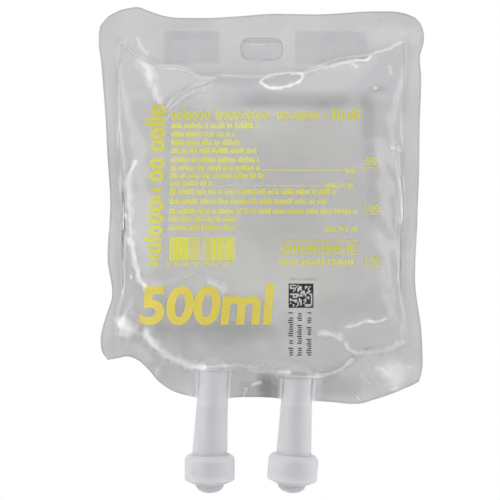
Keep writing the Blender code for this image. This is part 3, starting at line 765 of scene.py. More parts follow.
def film_paint(x, z, side):
    """How much painted highlight (partly real whitening at the welds) and painted shade each point
    of a film has, and how clear and how warm it is.
    """
    inside = CHAMBER.depth_inside(x, z)
    # Painted highlight along the welds (partly real whitening of the welded film) and a painted halo
    # beside them; painted shade along the cut edge and over the pockets
    strength = np.clip(WELD_WHITE + 0.2 * waves(x, z, 18 * MM, 25 + side), 0.3, 0.9)
    white = strength * bell(inside + WELD_BEAD_OUT, 0.7 * MM)
    white = np.maximum(white, HALO_WHITE * bell(inside + 1.2 * MM, 2.0 * MM))
    dark = EDGE_DARK * bell(FILM.depth_inside(x, z) - 0.2 * MM, 0.5 * MM)
    dark = dark + POCKET_DARK * pocket_share(x, z)
    if side < 0:
        # The front's painted highlights and painted shade, and a painted highlight round the slot
        more_white, more_dark = painted(x, z)
        rim = RIM_WHITE * bell(slot_side(x, z) - SLOT_RIM_OUT, 0.6 * MM)
        white = np.maximum(np.maximum(white, more_white), rim)
        # Painted shade over the liquid, below its level
        over_liquid = smooth_step(inside / (10 * MM)) * smooth_step((LIQUID_LEVEL - z) / (3 * MM))
        dark = dark + more_dark + LIQUID_SHADE * over_liquid
    high = smooth_step((z + 150 * MM) / (25 * MM))
    clear = FLANGE_CLEAR * smooth_step(-inside / (3 * MM)) * high
    # Painted highlight along the sides of each tube under the film, where the film is clear
    for name, port_x in PORT_X.items():
        past = from_axis(x, z, port_x) - TUBE_TOP_D / 2
        below = smooth_step((tube_top(name) + FILM.bottom - 0.7 * MM - z) / (1.5 * MM))
        white = np.maximum(white, SLEEVE_WHITE * bell(past - 0.3 * MM, 1.0 * MM) * below)
        clear = np.maximum(clear, below * smooth_step((0.4 * MM - past) / (0.6 * MM)))
    # The film is warmer over the liquid's middle, away from the level, the right side and the foot
    warm = smooth_step(inside / (12 * MM)) * smooth_step((-16 * MM - z) / (26 * MM))
    warm = warm * smooth_step((54 * MM - x) / (24 * MM)) * smooth_step((z + 142 * MM) / (34 * MM))
    return white, dark, clear, warm


def front_y(x, z):
    """The front film's y."""
    return film_y(x, z, -1)


def on_front(px, py):
    """The points where the camera's rays through photo pixels meet the front film."""
    x, z = place_of(px, py)
    u, v = x, z
    for _ in range(6):
        share = 1 + front_y(u, v) / CAMERA_DISTANCE
        u, v = EYE_X + (x - EYE_X) * share, EYE_Z + (z - EYE_Z) * share
    return u, front_y(u, v), v


def slot_side(x, z):
    """The distance from the slot's outline, negative inside it."""
    dx = np.abs(x) - (SLOT_W / 2 - SLOT_R)
    dz = np.abs(z) - (SLOT_H / 2 - SLOT_R)
    outside = np.hypot(np.maximum(dx, 0), np.maximum(dz, 0))
    return outside + np.minimum(np.maximum(dx, dz), 0) - SLOT_R


def add_object(name, data):
    """A new object in the scene."""
    made = bpy.data.objects.new(name, data)
    bpy.context.scene.collection.objects.link(made)
    return made


def new_piece(name, mesh, look, solid=None):
    """A piece of the bag that rides on its one body, in place of a solid if it names one."""
    made = add_object(name, mesh)
    mesh.materials.append(look)
    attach(made, "root")
    if solid:
        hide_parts(solid)
    return made


def quads_of(rows, columns, side):
    """The corners of a lattice's quads, facing out of the bag."""
    index = np.arange(rows * columns).reshape(rows, columns)
    quads = np.stack([index[:-1, :-1], index[1:, :-1], index[1:, 1:], index[:-1, 1:]], axis=-1)
    return quads if side < 0 else quads[..., ::-1]


def mesh_of(name, points, faces):
    """A new mesh of points and faces."""
    mesh = bpy.data.meshes.new(name)
    mesh.from_pydata(points, [], faces)
    return mesh


def add_field(mesh, name, values):
    """Gives each point of a mesh a number."""
    mesh.attributes.new(name, "FLOAT", "POINT").data.foreach_set("value", values)


def opened(*meshes):
    """One bmesh of some meshes."""
    bm = bmesh.new()
    for mesh in meshes:
        bm.from_mesh(mesh)
    return bm


def closed(bm, mesh, sharp=None):
    """Writes a bmesh to a smooth mesh, with its edges sharp past an angle in degrees."""
    bm.to_mesh(mesh)
    bm.free()
    mesh.shade_smooth()
    if sharp:
        mesh.set_sharp_from_angle(angle=math.radians(sharp))
    return mesh


def drop_loose(bm):
    """Deletes the points that no face uses."""
    bmesh.ops.delete(bm, geom=[v for v in bm.verts if not v.link_faces], context="VERTS")


def all_four(marks):
    """Which cells of a lattice have all their corners marked."""
    return marks[:-1, :-1] & marks[1:, :-1] & marks[1:, 1:] & marks[:-1, 1:]


def painted_mesh(name, x, y, z, quads, paint):
    """A smooth sheet with its paint as attributes."""
    mesh = mesh_of(name, np.stack([x, y, z], axis=-1).reshape(-1, 3).tolist(), quads.tolist())
    for field_name, values in zip(PAINT_FIELDS, paint):
        add_field(mesh, field_name, values.ravel())
    bm = opened(mesh)
    drop_loose(bm)
    return closed(bm, mesh)


def film_mesh(name, side, cell):
    """The sheet of one film, with the slot cut."""
    places = film_lattice(cell, round(SIDE_WELD / FLANGE_CELL))
    rows, columns = places.shape[:2]
    x, z = places[..., 0], places[..., 1]
    edge = slot_side(x, z)
    reach, step = 0.6 * cell, 0.05 * MM
    grad_x = (slot_side(x + step, z) - slot_side(x - step, z)) / (2 * step)
    grad_z = (slot_side(x, z + step) - slot_side(x, z - step)) / (2 * step)
    snap = np.abs(edge) < reach
    x, z = np.where(snap, x - edge * grad_x, x), np.where(snap, z - edge * grad_z, z)
    quads = quads_of(rows, columns, side)[~all_four(edge < reach)]
    return painted_mesh(name, x, film_y(x, z, side), z, quads, film_paint(x, z, side))


def tongue_mesh():
    """The tongue of both films that the slot's cut leaves hanging in it."""
    rows, columns = 25, 49
    across, down = np.meshgrid(np.linspace(-1, 1, columns), np.linspace(1, -1, rows))
    half_w, half_h = SLOT_W / 2 + TONGUE_OVERLAP, SLOT_H / 2 + TONGUE_OVERLAP
    radius = SLOT_R + TONGUE_OVERLAP
    z = down * half_h
    past = np.maximum(0.0, np.abs(z) - (half_h - radius))
    x = across * (half_w - radius + np.sqrt(np.maximum(radius**2 - past**2, 0.0)))
    sag = 0.5 * MM * (1 - across**2) * (1 - down**2)
    # The tongue's paint: painted highlights on a bar near its top and along its left side; painted
    # shade all over, along its top edge and at its sides
    sheen = smooth_step((5.5 * MM - np.abs(x + 1.2 * MM)) / (2 * MM))
    white = 0.5 * sheen * bell(z - 2.2 * MM, 0.55 * MM) + 0.45 * bell(across + 0.95, 0.04)
    dark = 0.12 + 0.7 * bell(z - 3.7 * MM, 0.6 * MM) + 0.4 * bell(across + 0.85, 0.04)
    dark = dark + 0.3 * bell(across - 0.97, 0.03)
    none = np.zeros_like(x)
    sheets = []
    for side, paint in ((-1, (white, dark, none, none)), (1, (none,) * 4)):
        y = sag + TONGUE_BACK + side * WELD_GAP / 2
        quads = quads_of(rows, columns, side).reshape(-1, 4)
        sheets.append(painted_mesh("tongue", x, y, z, quads, paint))
    bm = opened(*sheets)
    bpy.data.meshes.remove(sheets.pop())
    return closed(bm, sheets[0])


def liquid_mesh():
    """The saline: a pillow just inside the films, cut level at the top."""
    places = chamber_lattice(LIQUID_CELL)
    rows, columns = places.shape[:2]
    x, z = places[..., 0], places[..., 1]
    front = film_y(x, z, -1) + LIQUID_CLEAR
    back = film_y(x, z, 1) - LIQUID_CLEAR
    thin = front > back - 0.2 * MM
    middle = (front + back) / 2
    front, back = np.where(thin, middle, front), np.where(thin, middle, back)
    quads = quads_of(rows, columns, -1)[~all_four(thin)]
    points = [np.stack([x, y, z], axis=-1).reshape(-1, 3) for y in (front, back)]
    faces = np.concatenate([quads, quads[:, ::-1] + rows * columns])
    mesh = mesh_of("liquid", np.concatenate(points).tolist(), faces.tolist())
    bm = opened(mesh)
    drop_loose(bm)
    bmesh.ops.remove_doubles(bm, verts=bm.verts, dist=0.01 * MM)
    cut = bmesh.ops.bisect_plane(
        bm,
        geom=bm.verts[:] + bm.edges[:] + bm.faces[:],
        dist=0.001 * MM,
        plane_co=(0.0, 0.0, LIQUID_LEVEL),
        plane_no=(0.0, 0.0, 1.0),
        clear_outer=True,
    )
    rim = [edge for edge in cut["geom_cut"] if isinstance(edge, bmesh.types.BMEdge)]
    for face in bmesh.ops.edgeloop_fill(bm, edges=rim)["faces"]:
        face.material_index = 1
    bmesh.ops.recalc_face_normals(bm, faces=bm.faces)
    return closed(bm, mesh, sharp=60)


def feed(tree, socket, value):
    """Links a socket to another, or sets it to a number or a colour."""
    if isinstance(value, bpy.types.NodeSocket):
        tree.links.new(value, socket)
    else:
        socket.default_value = (*value, 1.0) if socket.type == "RGBA" else value


def new_node(tree, kind, **inputs):
    """A new node, with inputs fed by name."""
    node = tree.nodes.new("ShaderNode" + kind)
    for name, value in inputs.items():
        feed(tree, node.inputs[name.replace("_", " ")], value)
    return node


def node_look(name, **inputs):
    """A new node material with its shader's inputs set: it, its tree and its shader."""
    made = bpy.data.materials.new(name)
    made.use_nodes = True
    shader = made.node_tree.nodes["Principled BSDF"]
    for socket, value in inputs.items():
        feed(made.node_tree, shader.inputs[socket.replace("_", " ")], value)
    return made, made.node_tree, shader


def own_place(tree):
    """The object's own coordinates."""
    return new_node(tree, "TexCoord").outputs["Object"]


def noise(tree, scale, detail=2.0):
    """A noise texture over the object's own coordinates."""
    made = new_node(tree, "TexNoise", Vector=own_place(tree), Scale=scale, Detail=detail)
    return made.outputs["Fac"]


def maths(tree, operation, *values, clamp=False):
    """A maths node fed with sockets or numbers."""
    node = new_node(tree, "Math")
    node.operation, node.use_clamp = operation, clamp
    for place, value in enumerate(values):
        feed(tree, node.inputs[place], value)
    return node.outputs["Value"]


def ranged(tree, value, low, high, to_low, to_high):
    """A value mapped from one range to another, and held inside it."""
    limits = {"From_Min": low, "From_Max": high, "To_Min": to_low, "To_Max": to_high}
    return new_node(tree, "MapRange", Value=value, **limits).outputs["Result"]


def mixed(tree, share, first, second):
    """A colour between two colours."""
    node = new_node(tree, "Mix", Factor=share)
    node.data_type = "RGBA"
    for name, value in (("A", first), ("B", second)):
        feed(tree, next(s for s in node.inputs if s.name == name and s.type == "RGBA"), value)
    return next(s for s in node.outputs if s.type == "RGBA")


def mixed_surface(tree, share, first, second):
    """Ends a tree in a mix of two shaders."""
    mix = new_node(tree, "MixShader", Fac=share)
    tree.links.new(first.outputs[0], mix.inputs[1])
    tree.links.new(second.outputs[0], mix.inputs[2])
    tree.links.new(mix.outputs["Shader"], tree.nodes["Material Output"].inputs["Surface"])


def bumped(tree, shader, height, distance, strength):
    """Gives a shader a fine relief."""
    bump = new_node(tree, "Bump", Height=height, Distance=distance, Strength=strength)
    feed(tree, shader.inputs["Normal"], bump.outputs["Normal"])


def field(tree, name):
    """One of a mesh's painted fields."""
    node = new_node(tree, "Attribute")
    node.attribute_name = name
    return node.outputs["Fac"]


def clouded(tree, shader, cloud, low, first, second):
    """Colours a shader in soft clouds, where the noise runs from low to as far over a half."""
    share = ranged(tree, cloud, low, 1 - low, 0.0, 1.0)
    feed(tree, shader.inputs["Base Color"], mixed(tree, share, first, second))


def film_look():
    """Clear polymer film: slightly hazy and glossy, with painted highlights along welds and creases
    (partly real whitening at the welds) and painted shade.
    """
    made, tree, shader = node_look(
        "clear_film", Roughness=0.2, IOR=1.5, Coat_Weight=0.4, Coat_Roughness=0.12
    )
    white, dark, clear, warm = (field(tree, name) for name in PAINT_FIELDS)
    # Painted shade turns the colour towards the dark grey and painted highlight towards the
    # near-white; both also make the film less clear
    darker = maths(tree, "MULTIPLY", dark, 0.5, clamp=True)
    colour = mixed(tree, warm, (0.36, 0.357, 0.382), (0.364, 0.36, 0.356))
    colour = mixed(tree, darker, colour, (0.148, 0.147, 0.157))
    feed(tree, shader.inputs["Base Color"], mixed(tree, white, colour, (0.96, 0.955, 0.95)))
    facing = new_node(tree, "LayerWeight", Blend=0.35).outputs["Facing"]
    haze = ranged(tree, noise(tree, 26.0, 3.0), 0.3, 0.7, 0.33, 0.43)
    solid = maths(tree, "ADD", haze, maths(tree, "MULTIPLY", facing, 0.22))
    solid = maths(tree, "MULTIPLY_ADD", dark, 0.17, solid)
    solid = maths(tree, "MULTIPLY_ADD", white, 0.6, solid, clamp=True)
    cleared = maths(tree, "MULTIPLY_ADD", clear, -0.95, 1.0)
    feed(tree, shader.inputs["Alpha"], maths(tree, "MULTIPLY", solid, cleared))
    bumped(tree, shader, noise(tree, 150.0), 0.0005, 0.08)
    return made


def liquid_look():
    """Clear saline that bends light; lamps shine through it."""
    made, tree, shader = node_look(
        "saline", Base_Color=(0.975, 0.975, 0.945), Roughness=0.0, IOR=1.14, Transmission_Weight=1.0
    )
    bumped(tree, shader, noise(tree, 40.0), 0.0004, 0.05)
    clear = new_node(tree, "BsdfTransparent", Color=(0.95, 0.96, 0.96))
    mixed_surface(tree, new_node(tree, "LightPath").outputs["Is Shadow Ray"], shader, clear)
    return made


def surface_look():
    """The liquid's surface from below: a grey painted reflection that fades towards the sides."""
    made, tree, shader = node_look("saline_surface", Roughness=0.3)
    clouded(tree, shader, noise(tree, 50.0), 0.3, (0.34, 0.34, 0.35), (0.42, 0.42, 0.43))
    apart = new_node(tree, "SeparateXYZ", Vector=own_place(tree))
    away = maths(tree, "ABSOLUTE", apart.outputs["X"])
    feed(tree, shader.inputs["Alpha"], ranged(tree, away, 35 * MM, 58 * MM, 0.25, 0.0))
    return made


def port_look():
    """Frosted natural plastic that lets some light through, with painted light making it palest at
    its rounded sides, and painted shade.
    """
    made, tree, shader = node_look(
        "frosted_plastic",
        Roughness=0.4,
        Alpha=0.68,
        Subsurface_Weight=0.35,
        Subsurface_Radius=(1.0, 1.0, 1.0),
        Subsurface_Scale=0.004,
    )
    # Painted light: paler where the surface turns away from the view; the mesh's painted shade field
    # darkens it
    facing = new_node(tree, "LayerWeight", Blend=0.5).outputs["Facing"]
    cloud = ranged(tree, noise(tree, 70.0, 3.0), 0.35, 0.65, -0.2, 0.2)
    share = maths(tree, "ADD", facing, cloud, clamp=True)
    colour = mixed(tree, share, (0.84, 0.845, 0.865), (0.94, 0.945, 0.955))
    colour = mixed(tree, field(tree, "painted_shade"), colour, (0.40, 0.41, 0.43))
    feed(tree, shader.inputs["Base Color"], colour)
    bumped(tree, shader, noise(tree, 220.0), 0.0003, 0.12)
    return made


def rubber_look():
    """Matte rubber, seen dimly through the caps."""
    made, tree, shader = node_look("septum_rubber", Roughness=0.7)
    clouded(tree, shader, noise(tree, 300.0), 0.3, (0.28, 0.275, 0.26), (0.34, 0.33, 0.31))
    return made


def ink_look(name, colour, other, cover=0.93):
    """Printing ink, a little uneven in its colour."""
    made, tree, shader = node_look(name, Roughness=0.35, Alpha=cover)
    clouded(tree, shader, noise(tree, 90.0, 4.0), 0.35, colour, other)
    return made


def bar(x0, y0, x1, y1, round_=0.0):
    """A rectangle in photo pixels, with its corners cut if it is rounded."""
    r = min(round_, (x1 - x0) / 2, (y1 - y0) / 2)
    if r == 0:
        return [(x0, y0), (x1, y0), (x1, y1), (x0, y1)]
    return [
        (x0 + r, y0), (x1 - r, y0), (x1, y0 + r), (x1, y1 - r),
        (x1 - r, y1), (x0 + r, y1), (x0, y1 - r), (x0, y0 + r),
    ]


def frame_bars(x0, y0, x1, y1, line):
    """The four sides of a drawn box."""
    return [
        bar(x0, y0, x1, y0 + line),
        bar(x0, y1 - line, x1, y1),
        bar(x0, y0 + line, x0 + line, y1 - line),
        bar(x1 - line, y0 + line, x1, y1 - line),
    ]


def dashes(draw, box, stroke, gap, space):
    """A row of upright strokes in word-long groups, in place of small lettering."""
    x, top, x1, foot = box
    bars = []
    left_in_word = draw.randint(3, 9)
    while x + stroke <= x1:
        high = top if draw.random() < 0.3 else top + (foot - top) * 0.22
        bars.append(bar(x, high, x + stroke, foot, stroke * 0.3))
        x += stroke + gap
        left_in_word -= 1
        if left_in_word == 0:
            left_in_word = draw.randint(2, 9)
            x += space
    return bars


def blocks(draw, words, top, foot, wide, stroke, gap, space):
    """Words of hollow boxes and upright bars, in place of larger lettering: (shapes, length)."""
    shapes, x = [], 0.0
    high, low = top + stroke * 0.5, foot - stroke * 0.5
    for word in words:
        for _ in range(word):
            kind = draw.choice(("box", "box", "pair", "bar"))
            if kind == "bar":
                shapes.append(bar(x, top - (foot - top) * 0.4, x + stroke, foot, stroke * 0.4))
                x += stroke + gap
                continue
            right = x + wide - stroke
            shapes += [bar(left, high, left + stroke, low, stroke * 0.4) for left in (x, right)]
            if kind == "box":
                inner, outer = x + stroke * 0.5, right + stroke * 0.5
                for y in (top, foot - stroke):
                    shapes.append(bar(inner, y, outer, y + stroke, stroke * 0.3))
            x += wide + gap
        x += space
    return shapes, x - space - gap


def fitted(shapes, length, x0, x1):
    """Shapes drawn from 0 to a length, stretched along their row to run from x0 to x1."""
    return [[(x0 + px * (x1 - x0) / length, py) for px, py in points] for points in shapes]


def turned_up(bars, x0, y0):
    """Bars drawn along a row, turned to read upwards from (x0, y0)."""
    return [[(x0 + y, y0 - x) for x, y in points] for points in bars]


def lettering(text, box, bold=0.0, shear=0.0):
    """Plain figures fitted into a box of photo pixels: their outlines as a mesh."""
    curve = bpy.data.curves.new("figures", "FONT")
    curve.body, curve.offset, curve.shear, curve.resolution_u = text, bold, shear, 6
    holder = add_object("figures", curve)
    depsgraph = bpy.context.evaluated_depsgraph_get()
    mesh = bpy.data.meshes.new_from_object(holder.evaluated_get(depsgraph))
    bpy.data.objects.remove(holder)
    x0, top, x1, foot = box
    low = [min(v.co[k] for v in mesh.vertices) for k in (0, 1)]
    high = [max(v.co[k] for v in mesh.vertices) for k in (0, 1)]
    for v in mesh.vertices:
        share_x, share_y = ((v.co[k] - low[k]) / (high[k] - low[k]) for k in (0, 1))
        v.co = (x0 + (x1 - x0) * share_x, foot + (top - foot) * share_y, 0.0)
    return mesh


def print_mesh(name, inks, meshes=()):
    """Flat shapes in photo pixels, one list for each ink, laid on the front film."""
    bm = opened(*meshes)
    for mesh in meshes:
        bpy.data.meshes.remove(mesh)
    for ink, group in enumerate(inks):
        for points in group:
            face = bm.faces.new([bm.verts.new((px, py, 0.0)) for px, py in points])
            face.material_index = ink
    for normal in (Vector((1.0, 0.0, 0.0)), Vector((0.0, 1.0, 0.0))):
        along = [v.co.dot(normal) for v in bm.verts]
        at = min(along) + PRINT_CELL
        while at < max(along):
            geom = bm.verts[:] + bm.edges[:] + bm.faces[:]
            bmesh.ops.bisect_plane(
                bm, geom=geom, dist=1e-4, plane_co=at * normal, plane_no=normal
            )
            at += PRINT_CELL
    bmesh.ops.triangulate(bm, faces=bm.faces[:])
    pixels = np.array([v.co[:2] for v in bm.verts])
    x, y, z = on_front(pixels[:, 0], pixels[:, 1])
    for vert, place in zip(bm.verts, zip(x, y - PRINT_CLEAR, z)):
        vert.co = place
    bm.normal_update()
    for face in bm.faces:
        if face.normal.y > 0:
            face.normal_flip()
    return closed(bm, bpy.data.meshes.new(name))


def bar_code(draw):
    """The bars of a made-up code, wide and near each other in its dense stretches."""
    x, top, end, foot = CODE_BOX
    bars = []
    while x < end:
        dense = any(start < x < stop for start, stop in CODE_DENSE)
        wide = draw.choice((1.7, 2.6, 3.4) if dense else (0.8, 0.9, 1.2))
        bars.append(bar(x, top, x + wide, foot))
        x += wide + draw.choice((0.5, 0.6) if dense else (0.7, 1.2))
    return bars


def yellow_print():
    """The yellow print: scale, title blocks, rows of dashes, bar code and a plain panel."""
    draw = random.Random(7)
    title = fitted(*blocks(draw, TITLE_WORDS, 5.2, 19.3, 10.2, 3.6, 1.4, 5.0), 0.0, TITLE_LENGTH)
    shapes = []
    for points in turned_up(title, *TITLE_START):
        shapes.append([(px + PRINT_LEAN * (TITLE_MIDDLE - py), py) for px, py in points])
    for count, left, right in HEADING_WORDS:
        shapes += fitted(*blocks(draw, (count,), *HEADING_BAND, 5.8, 1.9, 1.0, 3.0), left, right)
    shapes.append(bar(*HEADING_DASH))
    pale = [bar(*line) for line in THIN_LINES]
    for middle, right in ROWS:
        left = ROW_START[0] + PRINT_LEAN * (ROW_START[1] - middle)
        box = left, middle - ROW_HALF, right, middle + ROW_HALF
        pale += dashes(draw, box, 1.7, 0.4, 1.7)
    for box in SMALL_WORDS:
        pale += dashes(draw, box, 1.6, 0.6, 2.2)
    code = bar_code(draw)
    pale += dashes(draw, CODE_DIGITS, 1.6, 1.2, 2.0)
    shapes += frame_bars(*PANEL, PRINT_LINE)
    shapes += dashes(draw, PANEL_WORDS, 3.0, 1.3, 3.0)
    pale += dashes(draw, UNDER_PANEL, 2.3, 1.0, 3.0)
    shapes += [bar(left, foot - 0.6, SCALE_RIGHT, foot + 0.5) for left, foot in SCALE_LINES]
    figures = [lettering(text, box, bold=0.02) for text, box in SCALE.items()]
    return print_mesh("yellow_print", (shapes, code, pale), figures)


def volume_print():
    """The volume in large figures."""
    figures = [lettering(text, box, bold=0.03, shear=0.09) for text, box in VOLUME.items()]
    return print_mesh("volume_print", (), figures)


def black_print():
    """The black print: a made-up field of modules in a frame, and rows of dashes."""
    draw = random.Random(19)
    shapes = frame_bars(*FIELD_FRAME, PRINT_LINE)
    for row in range(MODULES):
        for column in range(MODULES):
            if draw.random() < 0.5:
                x, y = FIELD_START[0] + column * MODULE, FIELD_START[1] + row * MODULE
                shapes.append(bar(x, y, x + MODULE, y + MODULE))
    for left, right in DATE_ROWS:
        column = dashes(draw, (0, 0.0, DATE_LENGTH, right - left), 1.15, 1.05, 3.0)
        shapes += turned_up(column, left, DATE_FOOT)
    shapes += dashes(draw, OVER_FIELD, 0.35, 1.5, 2.0)
    return print_mesh("black_print", (shapes,))


def turned(name, profile, look, side, shade, nudge=Matrix()):
    """A profile of (radius, height) points turned round a port's axis: a tube or a cap."""
    turns = [2 * math.pi * k / TURNS for k in range(TURNS)]
    points = [(r * math.cos(a), r * math.sin(a), height) for r, height in profile for a in turns]
    faces = []
    for ring in range(0, (len(profile) - 1) * TURNS, TURNS):
        for k in range(TURNS):
            a, b = ring + k, ring + (k + 1) % TURNS
            faces.append((a, b, b + TURNS, a + TURNS))
    mesh = mesh_of(name, points, faces)
    # The painted shade that the shade function gives each point
    add_field(mesh, "painted_shade", [shade(*point) for point in points])
    bm = opened(mesh)
    bmesh.ops.remove_doubles(bm, verts=bm.verts, dist=0.002 * MM)
    bmesh.ops.recalc_face_normals(bm, faces=bm.faces)
    turn = Matrix.Translation((PORT_X[side], 0.0, FILM.bottom)) @ Matrix.Rotation(PORT_LEAN, 4, "Y")
    bm.transform(turn @ nudge)
    new_piece(name, closed(bm, mesh, sharp=50), look, "port_" + name)


def arc(center, radius, start, end, count):
    """Points on an arc in the (radius, height) plane, from start to end in degrees."""
    angles = [math.radians(start + (end - start) * k / count) for k in range(count + 1)]
    return [(center[0] + radius * math.cos(a), center[1] + radius * math.sin(a)) for a in angles]


def tube_shade(x, y, height):
    """Painted shade on a tube: darker, wandering streaks down its front, and its part below the
    film.
    """
    below = 0.14 * float(smooth_step(height / (7 * MM) + 3.6)) if height < 0 else 0.0
    if y >= 0:
        return below
    wander = 0.7 * MM * math.sin(height / (4.5 * MM))
    stripe = (0.15 + 0.05 * math.sin(height / (6 * MM) + 1)) * bell(x - 0.5 * MM - wander, 2.2 * MM)
    return stripe + 0.07 * bell(x + 5.2 * MM - 0.5 * wander, 0.9 * MM) + below


def cap_shade(x, y, height):
    """Painted shade on a cap: its darker top, foot and button, and the tube's end and septum painted
    as if they show through.
    """
    wall_foot = CAP_GRIP - TUBE_OUT - COLLAR_H
    edge = 0.36 * bell(height - wall_foot, 0.8 * MM)
    foot = 0.48 * float(smooth_step((wall_foot - CONE_H + 1.2 * MM - height) / (1.6 * MM)))
    under = 0.16 * bell(height - wall_foot + CONE_H + 1.0 * MM, 0.9 * MM)
    top = 0.12 * float(smooth_step((height - CAP_GRIP + TUBE_OUT + 4.5 * MM) / (3 * MM)))
    shade = max(edge, foot) + under + top
    if y >= 0:
        return shade
    bore = bell(x - 0.6 * MM, 3.2 * MM) * bell(height + TUBE_OUT - 3.2 * MM, 2.0 * MM)
    septum = math.exp(-((x / (4.6 * MM)) ** 4)) * bell(height + TUBE_OUT + 1.9 * MM, 1.1 * MM)
    return shade + 0.2 * bore + 0.2 * septum


def tube_profile(top):
    """A tube's section: its bore, its rounded top, its outside and its foot."""
    bore, high, low = TUBE_BORE / 2, TUBE_TOP_D / 2, TUBE_FOOT_D / 2
    outside = [
        (high + (low - high) * k / TUBE_RINGS, -TUBE_OUT * k / TUBE_RINGS)
        for k in range(TUBE_RINGS + 1)
    ]
    return [
        (bore, top - TUBE_ROUND),
        (bore + TUBE_ROUND, top),
        *arc((high - TUBE_ROUND, top - TUBE_ROUND), TUBE_ROUND, 90, 0, 5),
        *outside,
        (bore, -TUBE_OUT),
        (bore, top - TUBE_ROUND),
    ]


def cap_profile():
    """A cap's section: its socket, the fillet against the tube, collar, cone and button."""
    foot, outer = -TUBE_OUT, COLLAR_D / 2
    cap_top = foot + CAP_GRIP
    wall_foot = cap_top - COLLAR_H
    cone_foot = wall_foot - CONE_H
    shelf = foot - SEPTUM_H - 2 * WELD_GAP
    inner = TUBE_FOOT_D / 2 + WELD_GAP
    taper = (TUBE_TOP_D - TUBE_FOOT_D) / 2 / TUBE_OUT
    lip = TUBE_FOOT_D / 2 + taper * CAP_GRIP + 0.05 * MM
    rim = BUTTON_D / 2 - 0.15 * MM
    dome_top = cone_foot - 0.4 * MM
    dome = GROOVE_H + BUTTON_H - 0.9 * MM
    profile = [(0.0, shelf), (inner, shelf), (inner, foot + 0.5 * MM), (lip, cap_top)]
    for across, down, radius, start, end, count in (
        (lip + LIP_ROUND, cap_top + 0.7 * MM, LIP_ROUND, 180, 262, 7),
        (outer - CAP_ROUND, cap_top - CAP_ROUND, CAP_ROUND, 80, 0, 9),
        (outer - CAP_FOOT_ROUND, wall_foot + CAP_FOOT_ROUND, CAP_FOOT_ROUND, 0, -68, 6),
    ):
        profile += arc((across, down), radius, start, end, count)
    profile += [(rim + 0.5 * MM, cone_foot + 0.15 * MM), (rim - 0.25 * MM, cone_foot - 0.05 * MM)]
    for k in range(12):
        angle = math.radians(90 * k / 12)
        profile.append((rim * math.cos(angle) ** 1.05, dome_top - dome * math.sin(angle)))
    return profile + [(0.0, dome_top - dome)]


def add_ports(look):
    """Tubes and caps, rounder and softer at their edges than the solids."""
    pivot = Vector((0.0, 0.0, CAP_GRIP - TUBE_OUT - COLLAR_H / 2))
    for side in PORT_X:
        turned("tube_" + side, tube_profile(tube_top(side)), look, side, tube_shade)
        shift, drop, tilt = CAP_NUDGE[side]
        moved = Matrix.Translation(pivot + Vector((shift, 0.0, -drop)))
        nudge = moved @ Matrix.Rotation(tilt, 4, "Y") @ Matrix.Translation(-pivot)
        turned("cap_" + side, cap_profile(), look, side, cap_shade, nudge)


def add_camera():
    """The photograph's view: level, square on, from arm's length."""
    data = bpy.data.cameras.new("camera")
    camera = add_object("camera", data)
    camera.location = (EYE_X, -CAMERA_DISTANCE, EYE_Z)
    camera.rotation_euler = (math.pi / 2, 0.0, 0.0)
    data.sensor_width = 36.0
    data.lens = data.sensor_width * CAMERA_DISTANCE / (PHOTO_SIDE * PIXEL)
    data.clip_start, data.clip_end = 0.01, 10.0
    bpy.context.scene.camera = camera


def stage_look():
    """White where the camera looks at it or through the liquid, and shaded near the bag."""
    made, tree, shader = node_look("stage", Base_Color=(0.82, 0.82, 0.82), Roughness=0.9)
    paths = new_node(tree, "LightPath").outputs
    away = new_node(tree, "VectorMath")
    away.operation = "DISTANCE"
    feed(tree, away.inputs[0], own_place(tree))
    away.inputs[1].default_value = (0.0, 0.05, FLOOR_Z)
    seen = maths(tree, "ADD", paths["Is Camera Ray"], paths["Transmission Depth"], clamp=True)
    seen = maths(tree, "MULTIPLY", seen, ranged(tree, away.outputs["Value"], 0.2, 0.5, 0.4, 1.0))
    white = new_node(tree, "Emission", Color=(1.0, 1.0, 1.0))
    mixed_surface(tree, seen, shader, white)
    return made


def add_stage():
    """A floor that sweeps up into a backdrop."""
    back_y, bend, half, steps = 1.0, 0.3, 1.8, 10
    profile = [(-1.6, FLOOR_Z), (back_y - bend, FLOOR_Z)]
    for k in range(1, steps):
        angle = math.radians(90 * k / steps)
        rise = bend * (1 - math.cos(angle))
        profile.append((back_y - bend + bend * math.sin(angle), FLOOR_Z + rise))
    profile += [(back_y, FLOOR_Z + bend), (back_y, 1.6)]
    points = [(x, y, z) for y, z in profile for x in (-half, half)]
    faces = [(2 * k, 2 * k + 1, 2 * k + 3, 2 * k + 2) for k in range(len(profile) - 1)]
    mesh = mesh_of("sweep", points, faces)
    mesh.shade_smooth()
    sweep = add_object("sweep", mesh)
    mesh.materials.append(stage_look())


def add_light(name, place, size, power):
    """A soft box that faces the bag."""
    data = bpy.data.lights.new(name, "AREA")
    data.shape, data.energy = "RECTANGLE", power
    data.size, data.size_y = size
    lamp = add_object(name, data)
    lamp.location = place
    lamp.rotation_euler = (LIT_POINT - Vector(place)).to_track_quat("-Z", "Y").to_euler()


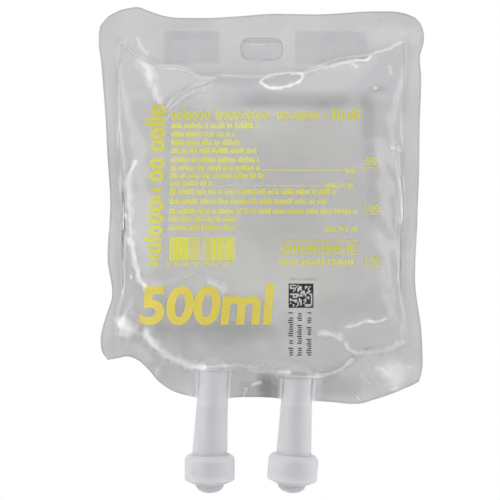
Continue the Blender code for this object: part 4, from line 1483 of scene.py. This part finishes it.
def add_lights():
    """Two tall soft boxes, a top light and a pale world."""
    add_light("left_box", (-0.9, -0.35, 0.2), (0.4, 0.9), 3.5)
    add_light("right_box", (0.95, -0.2, 0.0), (0.45, 0.9), 3.5)
    add_light("top_box", (0.05, -0.45, 0.9), (0.9, 0.4), 2.8)
    world = bpy.data.worlds.new("world")
    bpy.context.scene.world = world
    world.use_nodes = True
    tree = world.node_tree
    background = tree.nodes["Background"].inputs
    feed(tree, background["Color"], (0.975, 0.975, 1.0))
    paths = new_node(tree, "LightPath").outputs
    bent = maths(tree, "MINIMUM", paths["Transmission Depth"], 1.0)
    through = maths(tree, "MULTIPLY_ADD", bent, 0.3, WORLD_LEVEL)
    seen = maths(tree, "MULTIPLY", paths["Is Camera Ray"], 1.0 - WORLD_LEVEL)
    feed(tree, background["Strength"], maths(tree, "ADD", through, seen))


def add_films(film):
    """Both films and the tongue in their slot."""
    for side, cell, name in ((-1, FRONT_CELL, "front"), (1, BACK_CELL, "back")):
        mesh = film_mesh(name + "_sheet", side, cell)
        new_piece(name + "_sheet", mesh, film, name + "_film")
    new_piece("slot_tongue", tongue_mesh(), film)


def add_print():
    """The print in its inks: yellow ones, amber for the volume and black."""
    bright = (0.76, 0.74, 0.04), (0.84, 0.82, 0.07)
    yellow = ink_look("yellow_ink", (0.64, 0.62, 0.04), (0.73, 0.71, 0.08))
    amber = ink_look("amber_ink", (0.82, 0.68, 0.07), (0.88, 0.73, 0.10))
    black = ink_look("black_ink", (0.008, 0.008, 0.008), (0.02, 0.02, 0.02), cover=1.0)
    mesh = yellow_print()
    new_piece("yellow_print", mesh, yellow)
    mesh.materials.append(ink_look("bright_ink", *bright))
    mesh.materials.append(ink_look("pale_ink", *bright, cover=0.78))
    new_piece("volume_print", volume_print(), amber)
    new_piece("black_print", black_print(), black)


def main():
    add_camera()
    add_films(film_look())
    mesh = liquid_mesh()
    new_piece("liquid", mesh, liquid_look(), "saline_fill")
    mesh.materials.append(surface_look())
    add_ports(port_look())
    add_print()
    rubber = rubber_look()
    for side in PORT_X:
        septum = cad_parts["septum_" + side].data.materials
        septum.clear()
        septum.append(rubber)
    add_stage()
    add_lights()
    bpy.context.scene.view_settings.view_transform = "Standard"


main()
